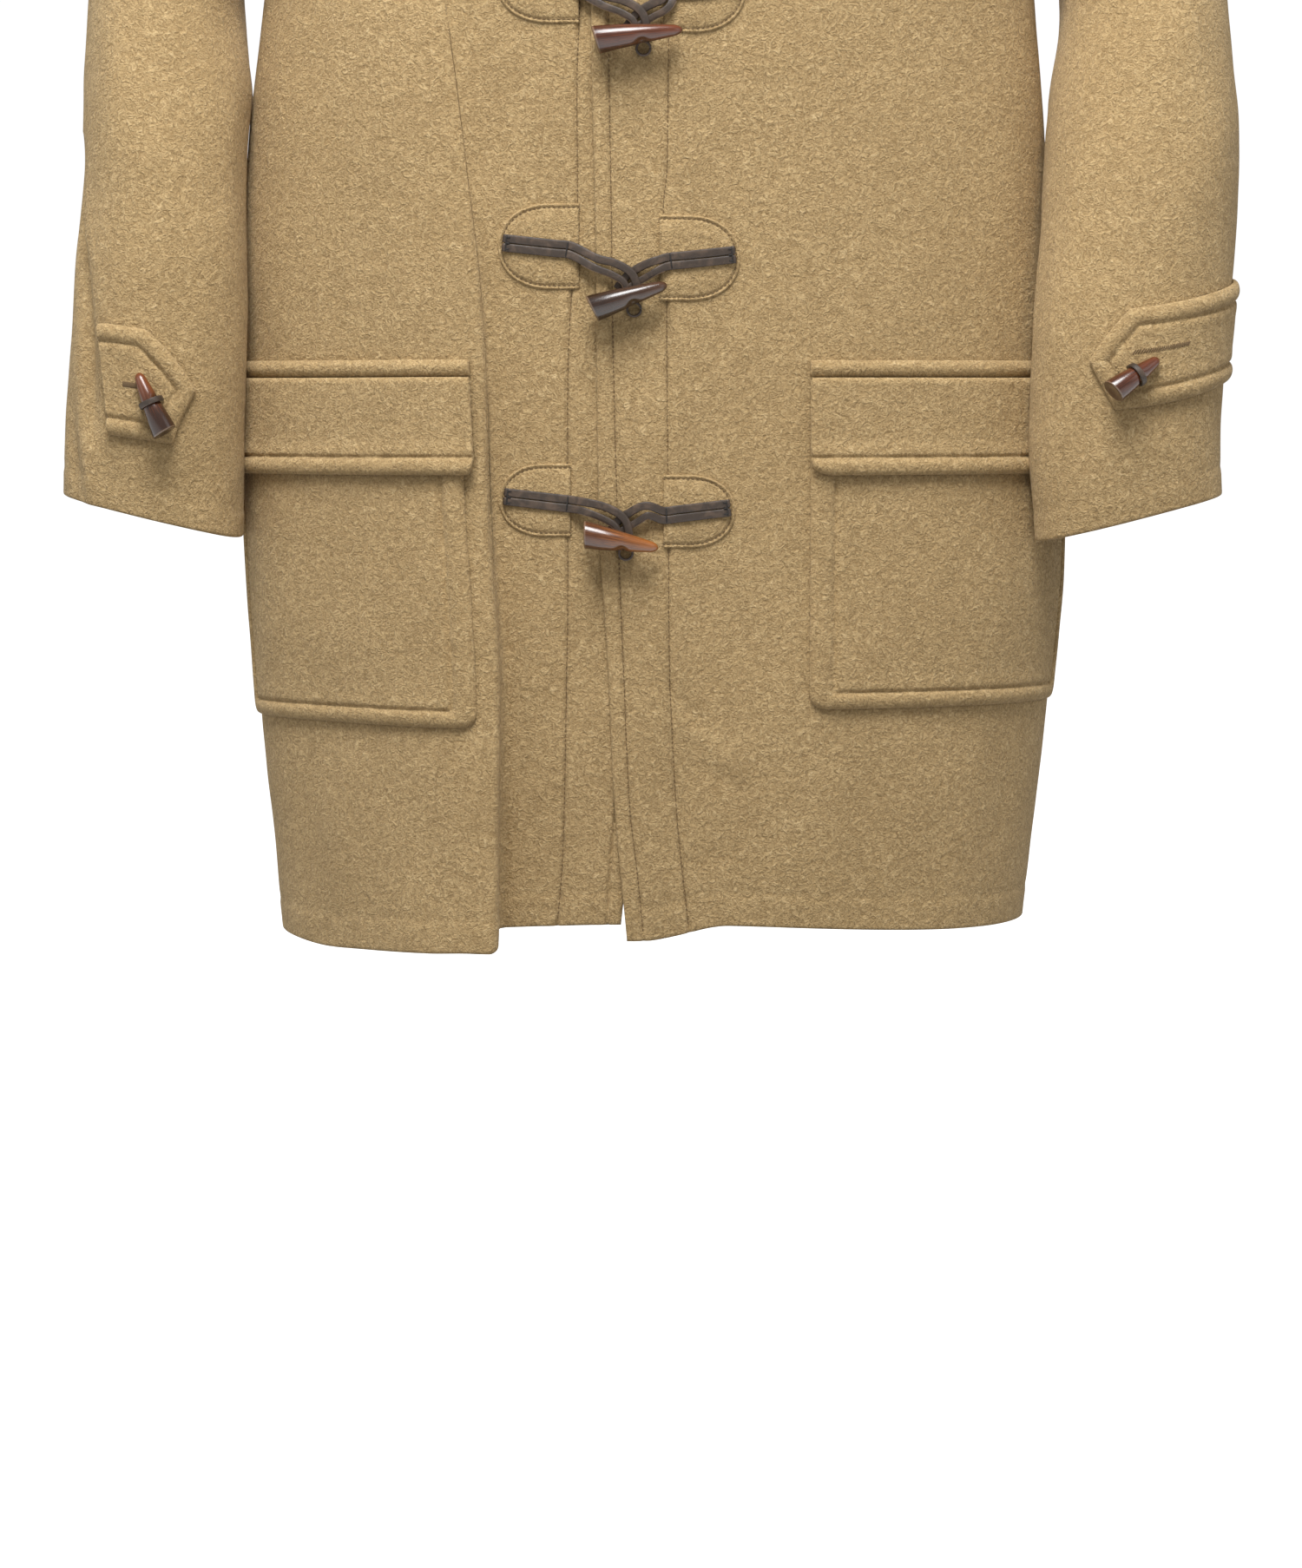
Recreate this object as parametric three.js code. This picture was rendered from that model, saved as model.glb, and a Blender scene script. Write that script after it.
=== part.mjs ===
import * as THREE from "three";

// A duffle coat of thick napped wool, in millimetres, hollow as when it is worn.
// +X is the viewer's right, the front faces -Y, +Z is up, and the origin lies between the shoulders at
// the neck. Left and right in every name are the viewer's.

const cloth = 3;
const seamGap = 0.3;
const overlayGap = 0.8;
const leather = 2.4;

const neckHalfWidth = 85;
const neckFrontDrop = 80;
const neckBackDrop = 18;
const neckTopZ = 10;
const shoulderFall = 0.0013;
const shoulderReach = 235;
const domeStartZ = -200;
const underarmZ = -250;
const levelZ = -330;
const squareness = 2.3;
const sleeveSquareness = 2.2;
const overlapLift = 4.3;
const overlapBlend = 34;

// Half-widths to each side and depths of the body at heights below the neck.
const bodySections = [
  { z: 60, left: 262, right: 262, front: 112, back: 106 },
  { z: -120, left: 262, right: 262, front: 112, back: 106 },
  { z: -250, left: 265, right: 264, front: 113, back: 107 },
  { z: -430, left: 286, right: 279, front: 112, back: 106 },
  { z: -540, left: 288, right: 286, front: 113, back: 109 },
  { z: -680, left: 285, right: 290, front: 116, back: 116 },
  { z: -790, left: 278, right: 282, front: 118, back: 120 },
  { z: -950, left: 264, right: 266, front: 118, back: 124 },
];

// The armhole edge: how far it turns from the side seam at each part of its rise from underarm to
// shoulder.
const armholeSections = [
  { rise: 0, turn: 0 },
  { rise: 0.1, turn: 20 },
  { rise: 0.3, turn: 34 },
  { rise: 0.6, turn: 40 },
  { rise: 1, turn: 28 },
];

// The big fold of the left front: its place, how far it stands out, its step's half-width and its lean.
const foldSections = [
  { z: -200, x: -166, out: 0, step: 22, lean: 0 },
  { z: -288, x: -156, out: 6, step: 18, lean: 0 },
  { z: -412, x: -137, out: 10, step: 14, lean: 0 },
  { z: -520, x: -121, out: 13, step: 9, lean: 1 },
  { z: -650, x: -114, out: 17, step: 6, lean: 2 },
  { z: -755, x: -109, out: 21, step: 6, lean: 4 },
  { z: -830, x: -111, out: 26, step: 7, lean: 6 },
  { z: -950, x: -114, out: 34, step: 7, lean: 9 },
];
const foldSpread = 135;
const foldCorner = 9;

// The two front edges, by height.
const edgeSections = [
  { z: 20, upper: -40, under: 12 },
  { z: -290, upper: -40, under: 12 },
  { z: -470, upper: -37, under: 12 },
  { z: -650, upper: -35, under: 8 },
  { z: -750, upper: -29, under: -2 },
  { z: -840, upper: -25, under: -12 },
  { z: -940, upper: -16, under: -21 },
];

// Soft waves of the back's skirt: place as a turn from the centre back, width as a turn, and depth at
// the hem.
const backFolds = [
  { turn: -52, width: 20, out: 16 },
  { turn: -8, width: 17, out: 13 },
  { turn: 34, width: 22, out: 18 },
];
const backFoldStartZ = -470;

const hemZ = -935;
const hemRight = { centre: -925, cornerDrop: 11, cornerReach: 60 };
const hemLeft = { recess: -925, crest: -941 };

const levels = {
  weltTop: -540.5,
  flapTop: -552,
  pocketTop: -566,
  flapBottom: -618,
  pocketBottomLeft: -788,
  pocketBottomRight: -777,
};
const upperRows = [-62, -84, -112, -145, -182, -222, -250, -288, -330];
const lowerRows = [-380, -430, -480];
const pocketRows = [-655, -700, -745];
const skirtRows = [-830, -880];

// The sleeves seen from the front: outer and inner edge, the middle's depth place and the half-depth.
const sleeveSections = {
  left: [
    { outerX: -262, outerZ: -80, innerX: -276, innerZ: -254, middleY: 0, deep: 78.5 },
    { outerX: -299, outerZ: -105, innerX: -282, innerZ: -263, middleY: 0, deep: 79.5 },
    { outerX: -335, outerZ: -148, innerX: -285, innerZ: -275, middleY: -2, deep: 79.5 },
    { outerX: -364, outerZ: -206, innerX: -285, innerZ: -290, middleY: -5, deep: 79.5 },
    { outerX: -389, outerZ: -268, innerX: -283, innerZ: -314, middleY: -10, deep: 77.5 },
    { outerX: -398, outerZ: -340, innerX: -282, innerZ: -364, middleY: -24, deep: 74.5 },
    { outerX: -401, outerZ: -420, innerX: -284, innerZ: -430, middleY: -37, deep: 70.5 },
    { outerX: -407, outerZ: -505, innerX: -285, innerZ: -510, middleY: -49, deep: 63.5 },
    { outerX: -412, outerZ: -575, innerX: -287, innerZ: -592, middleY: -56, deep: 56.5 },
    { outerX: -414, outerZ: -632, innerX: -289, innerZ: -662, middleY: -58, deep: 50.5 },
  ],
  right: [
    { outerX: 262, outerZ: -80, innerX: 276, innerZ: -254, middleY: 0, deep: 78.5 },
    { outerX: 300, outerZ: -105, innerX: 282, innerZ: -263, middleY: 0, deep: 79.5 },
    { outerX: 338, outerZ: -149, innerX: 285, innerZ: -275, middleY: -3, deep: 79.5 },
    { outerX: 371, outerZ: -208, innerX: 285, innerZ: -290, middleY: -8, deep: 79.5 },
    { outerX: 398, outerZ: -270, innerX: 283, innerZ: -314, middleY: -16, deep: 77.5 },
    { outerX: 409, outerZ: -345, innerX: 279, innerZ: -368, middleY: -32, deep: 74.5 },
    { outerX: 413, outerZ: -430, innerX: 271, innerZ: -435, middleY: -48, deep: 70.5 },
    { outerX: 409, outerZ: -515, innerX: 265, innerZ: -520, middleY: -61, deep: 63.5 },
    { outerX: 403, outerZ: -585, innerX: 266, innerZ: -600, middleY: -69, deep: 56.5 },
    { outerX: 400, outerZ: -632, innerX: 269, innerZ: -664, middleY: -73, deep: 50.5 },
  ],
};
const sleeveColumns = 20;
const sleeveClear = { upper: 3, pocket: 11, fromZ: -490, toZ: -530 };
const armholeCentre = { x: 262, z: -150 };
const armholeGap = 0.7;

// The hood thrown back: a line from the neck seam out, down behind, round and up to the face edge.
// Each pair is how far out from the neck seam and how far up.
const hoodSections = [
  {
    turn: 10, standOut: 2, standUp: 9, fallOut: 5, fallUp: 16,
    lowOut: 8, lowUp: 20, riseOut: 10, riseUp: 27, rimOut: 9, rimUp: 34,
  },
  {
    turn: 50, standOut: 6, standUp: 12, fallOut: 16, fallUp: 17,
    lowOut: 27, lowUp: 18, riseOut: 36, riseUp: 30, rimOut: 31, rimUp: 48,
  },
  {
    turn: 90, standOut: 9, standUp: 14, fallOut: 34, fallUp: 9,
    lowOut: 62, lowUp: 1, riseOut: 80, riseUp: 18, rimOut: 70, rimUp: 46,
  },
  {
    turn: 120, standOut: 11, standUp: 13, fallOut: 46, fallUp: -2,
    lowOut: 96, lowUp: -62, riseOut: 114, riseUp: -18, rimOut: 90, rimUp: 42,
  },
  {
    turn: 150, standOut: 12, standUp: 11, fallOut: 52, fallUp: -36,
    lowOut: 90, lowUp: -178, riseOut: 124, riseUp: -92, rimOut: 100, rimUp: 34,
  },
  {
    turn: 180, standOut: 13, standUp: 10, fallOut: 55, fallUp: -60,
    lowOut: 86, lowUp: -205, riseOut: 132, riseUp: -120, rimOut: 106, rimUp: 28,
  },
];
const hoodGap = 1;
const hoodColumns = 22;
const hoodSteps = 11;

// Each closure of the front: the tips of its tongues and their middles' heights, the tongues' size, and
// the toggle's middle, length and tilt.
const closures = [
  {
    left: -103, leftZ: -117, right: 63, rightZ: -123, length: 55, height: 57,
    toggleX: -9, toggleZ: -154, toggleLength: 58, tilt: 5,
  },
  {
    left: -103, leftZ: -290, right: 63, rightZ: -296.5, length: 55, height: 57,
    toggleX: -8, toggleZ: -327.5, toggleLength: 58.5, tilt: 6.6,
  },
  {
    left: -102.7, leftZ: -465, right: 60, rightZ: -472.9, length: 54.3, height: 57,
    toggleX: -14.3, toggleZ: -499, toggleLength: 53, tilt: 17.5,
  },
  {
    left: -103, leftZ: -634.6, right: 57, rightZ: -642.1, length: 48.5, height: 49.2,
    toggleX: -19.9, toggleZ: -661.9, toggleLength: 51, tilt: -10.3,
  },
];
const tongue = { straight: 0.34, roundness: 2.2 };
const strap = { width: 11.5, start: 3.5, flat: 45, rise: 2.5, fall: 5 };
// Where each strap runs once it has left its tongue: places from the toggle's middle, height off the
// cloth and width. The left strap lies on the right one, and the toggle lies on both.
const leftTail = [
  { x: -22, up: 21, lift: 3.4, width: 9.5 },
  { x: -10, up: 17, lift: 4.3, width: 8 },
  { x: -1, up: 11, lift: 4.7, width: 7 },
  { x: 2, up: 3, lift: 4.7, width: 7 },
  { x: 2, up: -9, lift: 4.7, width: 6.5 },
];
const rightTail = [
  { x: 17, up: 19, lift: 4.8, width: 9.5 },
  { x: 7, up: 14, lift: 2.4, width: 8 },
  { x: 0, up: 10, lift: 1.9, width: 7 },
  { x: -7, up: 3, lift: 1.9, width: 7 },
];
const seat = 0.35;
const toggleShape = { butt: 9.2, tip: 3, bow: 3.5, lift: 10.4, sides: 10, steps: 8 };
const cuffToggleShape = { length: 44, butt: 8.6, tip: 3, bow: 2, sides: 10, steps: 6 };

// The cuff tabs: where each starts round the sleeve, where its sides end, where its point is, and its
// heights.
const cuffTabs = {
  left: {
    start: 60, startLow: 78, shoulder: 90, shoulderLow: 112, point: 126,
    topZ: -513, bottomZ: -587, drop: 8,
    toggleTurn: 100, toggleZ: -569, lean: new THREE.Vector3(-0.4, 0, 0.9), onTab: 5.3, rooted: 0.4, columns: 8,
  },
  right: {
    start: -25, startLow: -25, shoulder: 97, shoulderLow: 101, point: 118,
    topZ: -482, bottomZ: -549, drop: 26,
    toggleTurn: 95, toggleZ: -551, lean: new THREE.Vector3(0.82, 0, 0.57), onTab: 4.7, rooted: 0.45, columns: 14,
  },
};
// A tab stands off its sleeve, and its pointed end is rounded by this much.
const cuffTab = { gap: 0.9, rows: 6, pointed: 1.3 };
// The leather loop that holds a cuff toggle.
const cuffLoop = { width: 5, thickness: 1.8, clear: 0.82, stops: [-90, -60, -30, 0, 30, 60, 90] };

const weltRoll = 2.6;

const colours = { wool: 0xb9986a, leather: 0x3b261b, horn: 0x7a4522 };

function clamp(value, low, high) {
  return Math.min(high, Math.max(low, value));
}

function smooth(value) {
  const t = clamp(value, 0, 1);
  return t * t * (3 - 2 * t);
}

function mix(a, b, t) {
  return a + (b - a) * t;
}

function degrees(value) {
  return value * Math.PI / 180;
}

// A value between table rows on a smooth curve through them; rows may run up or down.
function along(table, by, column, at) {
  const falling = table[0][by] > table[table.length - 1][by];
  const rows = falling ? [...table].reverse() : table;
  if (at <= rows[0][by]) {
    return rows[0][column];
  }
  if (at >= rows[rows.length - 1][by]) {
    return rows[rows.length - 1][column];
  }
  const i = rows.findIndex((row) => row[by] >= at) - 1;
  const slope = (k) => {
    const a = rows[Math.max(0, k - 1)];
    const b = rows[Math.min(rows.length - 1, k + 1)];
    return (b[column] - a[column]) / (b[by] - a[by]);
  };
  const span = rows[i + 1][by] - rows[i][by];
  const t = (at - rows[i][by]) / span;
  const a = rows[i][column];
  const b = rows[i + 1][column];
  const t2 = t * t;
  const t3 = t2 * t;
  return a * (2 * t3 - 3 * t2 + 1) + b * (3 * t2 - 2 * t3)
    + span * (slope(i) * (t3 - 2 * t2 + t) + slope(i + 1) * (t3 - t2));
}

function power(value, exponent) {
  return Math.sign(value) * Math.abs(value) ** exponent;
}

function shoulderZ(x) {
  return neckTopZ - shoulderFall * x * x;
}

// The turn round the body, from the centre front, at which the surface has the place x.
function turnAt(x, z) {
  const side = along(bodySections, "z", x < 0 ? "left" : "right", z);
  return Math.asin(power(clamp(x / side, -1, 1), squareness / 2));
}

// The plain body: turn 0 is the centre front, 90 degrees the right side, and 180 the centre back.
function plainBody(turn, z) {
  const sine = Math.sin(turn);
  const cosine = Math.cos(turn);
  const side = along(bodySections, "z", sine < 0 ? "left" : "right", z);
  const depth = along(bodySections, "z", cosine > 0 ? "front" : "back", z);
  const x = side * power(sine, 2 / squareness);
  const rise = clamp((z - domeStartZ) / (shoulderZ(x) - domeStartZ), 0, 1);
  const dome = Math.sqrt(1 - rise * rise);
  const y = -depth * power(cosine, 2 / squareness) * dome;
  return new THREE.Vector3(x, y, z);
}

function normalOf(surface, turn, z) {
  const step = 0.002;
  const across = surface(turn + step, z).sub(surface(turn - step, z));
  const down = surface(turn, z - 0.02).sub(surface(turn, z));
  return down.cross(across).normalize();
}

// How far the fold stands out, and how far sideways its cloth is carried, at a distance from its crest.
function foldAt(x, z) {
  const crest = along(foldSections, "z", "x", z);
  const out = along(foldSections, "z", "out", z);
  const step = along(foldSections, "z", "step", z);
  const lean = along(foldSections, "z", "lean", z);
  const s = x - crest;
  if (out < 0.01 || s < -foldSpread || s > 2 * step) {
    return { out: 0, aside: 0 };
  }
  if (s <= 0) {
    const part = (1 + Math.cos(Math.PI * s / foldSpread)) / 2;
    return { out: out * part, aside: lean * part };
  }
  const corner = Math.min(foldCorner, out / 2);
  const p = s / (2 * step) * 3;
  let place;
  let height;
  if (p < 1) {
    const angle = p * Math.PI / 2;
    place = step * Math.sin(angle);
    height = out - corner * (1 - Math.cos(angle));
  } else if (p < 2) {
    place = step;
    height = mix(out - corner, corner, p - 1);
  } else {
    const angle = (p - 2) * Math.PI / 2;
    place = step * (2 - Math.cos(angle));
    height = corner * (1 - Math.sin(angle));
  }
  return { out: height, aside: place - s + lean * height / out };
}

function frontLeftSurface(turn, z) {
  const point = plainBody(turn, z);
  const fold = foldAt(point.x, z);
  if (fold.out > 0 || fold.aside !== 0) {
    const normal = normalOf(plainBody, turn, z);
    const along3 = new THREE.Vector3(-normal.y, normal.x, 0).normalize();
    point.addScaledVector(normal, fold.out).addScaledVector(along3, fold.aside);
  }
  return point;
}

function frontRightSurface(turn, z) {
  const point = plainBody(turn, z);
  const under = along(edgeSections, "z", "under", z);
  const lift = overlapLift * (1 - smooth((point.x - under - 3) / overlapBlend));
  return point.addScaledVector(normalOf(plainBody, turn, z), lift);
}

function backSurface(turn, z) {
  const point = plainBody(turn, z);
  const grow = clamp((backFoldStartZ - z) / (backFoldStartZ - hemZ), 0, 1) ** 1.4;
  const fromBack = turn > 0 ? turn - Math.PI : turn + Math.PI;
  let out = 0;
  for (const fold of backFolds) {
    const s = (fromBack - degrees(fold.turn)) / degrees(fold.width);
    out += fold.out * Math.exp(-s * s);
  }
  return point.addScaledVector(normalOf(plainBody, turn, z), out * grow);
}

// A closed wall from an outer and an inner grid of points; a closed one joins its last column to its
// first.
function wallGeometry(outer, inner, closed) {
  const rows = outer.length;
  const columns = outer[0].length;
  const positions = [];
  const faces = [];
  for (const grid of [outer, inner]) {
    for (const row of grid) {
      for (const p of row) {
        positions.push(p.x, p.y, p.z);
      }
    }
  }
  const at = (layer, r, c) => (layer * rows + r) * columns + c % columns;
  const quad = (a, b, c, d) => faces.push(a, b, c, a, c, d);
  const spans = closed ? columns : columns - 1;
  for (let c = 0; c < spans; c += 1) {
    for (let r = 0; r < rows - 1; r += 1) {
      quad(at(0, r, c), at(0, r + 1, c), at(0, r + 1, c + 1), at(0, r, c + 1));
      quad(at(1, r, c), at(1, r, c + 1), at(1, r + 1, c + 1), at(1, r + 1, c));
    }
    quad(at(0, 0, c), at(0, 0, c + 1), at(1, 0, c + 1), at(1, 0, c));
    quad(at(0, rows - 1, c), at(1, rows - 1, c), at(1, rows - 1, c + 1), at(0, rows - 1, c + 1));
  }
  if (!closed) {
    const last = columns - 1;
    for (let r = 0; r < rows - 1; r += 1) {
      quad(at(0, r, 0), at(1, r, 0), at(1, r + 1, 0), at(0, r + 1, 0));
      quad(at(0, r, last), at(0, r + 1, last), at(1, r + 1, last), at(1, r, last));
    }
  }
  return outwardGeometry(positions, faces);
}

function outwardGeometry(positions, faces) {
  const point = (i) => new THREE.Vector3().fromArray(positions, 3 * i);
  let volume = 0;
  for (let i = 0; i < faces.length; i += 3) {
    volume += point(faces[i]).dot(point(faces[i + 1]).cross(point(faces[i + 2])));
  }
  if (volume < 0) {
    for (let i = 0; i < faces.length; i += 3) {
      [faces[i + 1], faces[i + 2]] = [faces[i + 2], faces[i + 1]];
    }
  }
  const geometry = new THREE.BufferGeometry();
  geometry.setAttribute("position", new THREE.Float32BufferAttribute(positions, 3));
  geometry.setIndex(faces);
  geometry.computeVertexNormals();
  return geometry;
}

const coat = new THREE.Group();

function addPiece(name, geometry, kind) {
  const finish = {
    wool: { roughness: 0.95 },
    leather: { roughness: 0.5 },
    horn: { roughness: 0.3 },
  }[kind];
  const material = new THREE.MeshStandardMaterial({ color: colours[kind], metalness: 0, ...finish });
  const mesh = new THREE.Mesh(geometry, material);
  mesh.name = name;
  coat.add(mesh);
}

// How far the armhole edge turns in from the side seam at a height.
function armholeTurn(z) {
  const top = shoulderZ(shoulderReach);
  const rise = clamp((z - underarmZ) / (top - underarmZ), 0, 1);
  return degrees(along(armholeSections, "rise", "turn", rise));
}

// Each panel's column lines: named places across it, each with its turn by height, and the steps between
// them.
function neckBlend(z) {
  return smooth((z - levelZ) / (upperRows[0] - levelZ));
}

function edgeTurn(column) {
  return (z) => turnAt(along(edgeSections, "z", column, z), z);
}

function foldLine(offset) {
  return (z) => turnAt(along(foldSections, "z", "x", z) + offset, z);
}

function footLine(z) {
  const foot = along(foldSections, "z", "x", z) + 2 * along(foldSections, "z", "step", z);
  return turnAt(mix(foot, -neckHalfWidth, neckBlend(z)), z);
}

function rightPocketLine(z) {
  return turnAt(mix(108, neckHalfWidth, neckBlend(z)), z);
}

const panels = {
  frontLeft: {
    surface: frontLeftSurface,
    seamShift: -seamGap / 2,
    lines: [
      { at: 0, turn: edgeTurn("under") },
      { at: 6, turn: footLine },
      { at: 12, turn: foldLine(0) },
      { at: 13, turn: foldLine(-10) },
      { at: 22, turn: (z) => -Math.PI / 2 + armholeTurn(z) },
    ],
    neckDrop: neckFrontDrop,
  },
  frontRight: {
    surface: frontRightSurface,
    seamShift: -seamGap / 2,
    lines: [
      { at: 0, turn: edgeTurn("upper") },
      { at: 3, turn: (z) => turnAt(along(edgeSections, "z", "under", z) + 5, z) },
      { at: 9, turn: rightPocketLine },
      { at: 18, turn: (z) => Math.PI / 2 - armholeTurn(z) },
    ],
    neckDrop: neckFrontDrop,
  },
  back: {
    surface: backSurface,
    seamShift: seamGap / 2,
    lines: [
      { at: 0, turn: (z) => -Math.PI / 2 - armholeTurn(z) },
      { at: 8, turn: (z) => -Math.PI - turnAt(-mix(110, neckHalfWidth, neckBlend(z)), z) },
      { at: 17, turn: (z) => -Math.PI - turnAt(mix(110, neckHalfWidth, neckBlend(z)), z) },
      { at: 25, turn: (z) => -3 * Math.PI / 2 + armholeTurn(z) },
    ],
    neckDrop: neckBackDrop,
  },
};

function columnTurn(panel, column, z) {
  const i = clamp(panel.lines.findIndex((line) => line.at > column) - 1, 0, panel.lines.length - 2);
  const last = column >= panel.lines[panel.lines.length - 1].at;
  const a = panel.lines[last ? panel.lines.length - 2 : i];
  const b = panel.lines[last ? panel.lines.length - 1 : i + 1];
  return mix(a.turn(z), b.turn(z), (column - a.at) / (b.at - a.at));
}

// The height of a point of a row: the rows bend to the neckline and shoulder above, and to the hem
// below.
function rowHeight(panel, column, z) {
  if (z > levelZ) {
    const topTurn = columnTurn(panel, column, upperRows[0]);
    const x = plainBody(topTurn, upperRows[0]).x;
    const inNeck = clamp(1 - (x / neckHalfWidth) ** 2, 0, 1);
    const top = Math.abs(x) < neckHalfWidth - 0.01 ? -panel.neckDrop * Math.sqrt(inNeck) : shoulderZ(x);
    const fade = (z - levelZ) / (upperRows[0] - levelZ);
    return z + (top - upperRows[0]) * fade ** 1.1;
  }
  return z > hemZ + 1 ? z : hemHeight(columnTurn(panel, column, hemZ), panel);
}

function hemHeight(turn, panel) {
  const x = plainBody(turn, hemZ).x;
  if (panel === panels.frontRight) {
    const edge = along(edgeSections, "z", "upper", hemZ);
    const corner = hemRight.cornerDrop * (1 - smooth((x - edge - 12) / hemRight.cornerReach));
    return mix(hemRight.centre, hemZ, smooth(x / 260)) - corner;
  }
  if (panel === panels.frontLeft) {
    const fold = foldAt(x, hemZ).out / along(foldSections, "z", "out", hemZ);
    return mix(mix(hemLeft.recess, hemZ, smooth(-x / 260)), hemLeft.crest, fold);
  }
  return hemZ;
}

// A point of a panel, lifted off its surface; the lift may be negative, to the wall's inside.
function panelPoint(panel, column, z, lift) {
  const height = rowHeight(panel, column, z);
  const turn = columnTurn(panel, column, z);
  const point = panel.surface(turn, height);
  point.addScaledVector(normalOf(panel.surface, turn, height), lift);
  point.y += panel.seamShift;
  return point;
}

function panelGrid(panel, columns, rows, lift) {
  return rows.map((z) => columns.map((column) => panelPoint(panel, column, z, lift)));
}

function count(from, to) {
  return Array.from({ length: to - from + 1 }, (_, i) => from + i);
}

const bodyRows = [
  ...upperRows,
  ...lowerRows,
  levels.weltTop,
  levels.flapTop,
  levels.pocketTop,
  levels.flapBottom,
  ...pocketRows,
];

function addPanel(name, panel, pocketBottom) {
  const rows = [...bodyRows, pocketBottom, ...skirtRows, hemZ];
  const columns = count(0, panel.lines[panel.lines.length - 1].at);
  const outer = panelGrid(panel, columns, rows, 0);
  const inner = panelGrid(panel, columns, rows, -cloth);
  addPiece(name, wallGeometry(outer, inner), "wool");
}

addPanel("front_left", panels.frontLeft, levels.pocketBottomLeft);
addPanel("front_right", panels.frontRight, levels.pocketBottomRight);
addPanel("back", panels.back, levels.pocketBottomLeft);

// A panel's armhole edge, from the shoulder to the underarm, on both faces of the cloth.
function armholeEdge(panel, column) {
  const rows = upperRows.filter((z) => z >= underarmZ);
  const face = (lift) => rows.map((z) => panelPoint(panel, column, z, lift));
  return { outer: face(0), inner: face(-cloth) };
}

const lastColumn = (panel) => panel.lines[panel.lines.length - 1].at;
const armholeEdges = {
  left: {
    front: armholeEdge(panels.frontLeft, lastColumn(panels.frontLeft)),
    back: armholeEdge(panels.back, 0),
  },
  right: {
    front: armholeEdge(panels.frontRight, lastColumn(panels.frontRight)),
    back: armholeEdge(panels.back, lastColumn(panels.back)),
  },
};

// A point just inside the armhole edge: angle 0 at the shoulder, then round by the front and the
// underarm.
function armholePoint(side, angle, lift) {
  const hand = side === "left" ? -1 : 1;
  const { outer, inner } = armholeEdges[side][Math.sin(angle) >= 0 ? "front" : "back"];
  const z = mix(underarmZ, shoulderZ(shoulderReach), (1 + Math.cos(angle)) / 2);
  const below = outer.findIndex((point) => point.z < z);
  const i = below < 0 ? outer.length - 2 : Math.max(below - 1, 0);
  const part = clamp((z - outer[i].z) / (outer[i + 1].z - outer[i].z), 0, 1);
  const point = outer[i].clone().lerp(outer[i + 1], part);
  point.lerp(inner[i].clone().lerp(inner[i + 1], part), -lift / cloth);
  const inward = new THREE.Vector3(hand * armholeCentre.x, 0, armholeCentre.z).sub(point).normalize();
  return point.addScaledVector(inward, armholeGap);
}

// Keeps a sleeve point clear of the body and of the pocket on it.
function clearOfBody(point) {
  if (point.z > underarmZ - 2) {
    return point;
  }
  const clear = mix(sleeveClear.upper, sleeveClear.pocket,
    smooth((sleeveClear.fromZ - point.z) / (sleeveClear.fromZ - sleeveClear.toZ)));
  const side = along(bodySections, "z", point.x < 0 ? "left" : "right", point.z) + clear;
  const depth = along(bodySections, "z", "front", point.z) + clear;
  const reach = (Math.abs(point.x) / side) ** squareness + (Math.abs(point.y) / depth) ** squareness;
  if (reach < 1) {
    const grow = reach ** (-1 / squareness);
    point.x *= grow;
    point.y *= grow;
  }
  return point;
}

function sleeveRing(side, row, angle) {
  if (row === 0) {
    return armholePoint(side, angle, 0);
  }
  const s = sleeveSections[side][row - 1];
  const out = power(Math.cos(angle), 2 / sleeveSquareness);
  const forward = power(Math.sin(angle), 2 / sleeveSquareness);
  const x = (s.outerX + s.innerX) / 2 + (s.outerX - s.innerX) / 2 * out;
  const z = (s.outerZ + s.innerZ) / 2 + (s.outerZ - s.innerZ) / 2 * out;
  return clearOfBody(new THREE.Vector3(x, s.middleY - s.deep * forward, z));
}

// The sleeve's surface, on a smooth curve through its rings.
function sleeveSurface(side, angle, row) {
  const last = sleeveSections[side].length;
  const i = clamp(Math.floor(row), 0, last - 1);
  const t = row - i;
  const points = [i - 1, i, i + 1, i + 2].map((k) => sleeveRing(side, clamp(k, 0, last), angle));
  const curve = new THREE.Vector3();
  for (const axis of ["x", "y", "z"]) {
    const [a, b, c, d] = points.map((p) => p[axis]);
    const fromSlope = (c - a) / 2;
    const toSlope = (d - b) / 2;
    curve[axis] = b + t * (fromSlope + t * ((c - b) * 3 - 2 * fromSlope - toSlope
      + t * (2 * (b - c) + fromSlope + toSlope)));
  }
  return curve;
}

function sleeveNormal(side, angle, row) {
  const step = 0.01;
  const across = sleeveSurface(side, angle + step, row).sub(sleeveSurface(side, angle - step, row));
  const last = sleeveSections[side].length;
  const low = Math.min(row + step, last);
  const high = Math.max(row - step, 0);
  const down = sleeveSurface(side, angle, low).sub(sleeveSurface(side, angle, high));
  const normal = across.cross(down).normalize();
  return side === "left" ? normal.negate() : normal;
}

function sleevePoint(side, angle, row, lift) {
  if (row === 0) {
    return armholePoint(side, angle, lift);
  }
  return sleeveSurface(side, angle, row).addScaledVector(sleeveNormal(side, angle, row), lift);
}

function addSleeve(name, side) {
  const rows = [];
  for (let row = 0; row <= sleeveSections[side].length; row += row < 6 ? 0.5 : 1) {
    rows.push(row);
  }
  const angles = count(0, sleeveColumns - 1).map((i) => i * 2 * Math.PI / sleeveColumns);
  const grid = (lift) => rows.map((row) => angles.map((angle) => sleevePoint(side, angle, row, lift)));
  addPiece(name, wallGeometry(grid(0), grid(-cloth), true), "wool");
}

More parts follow.
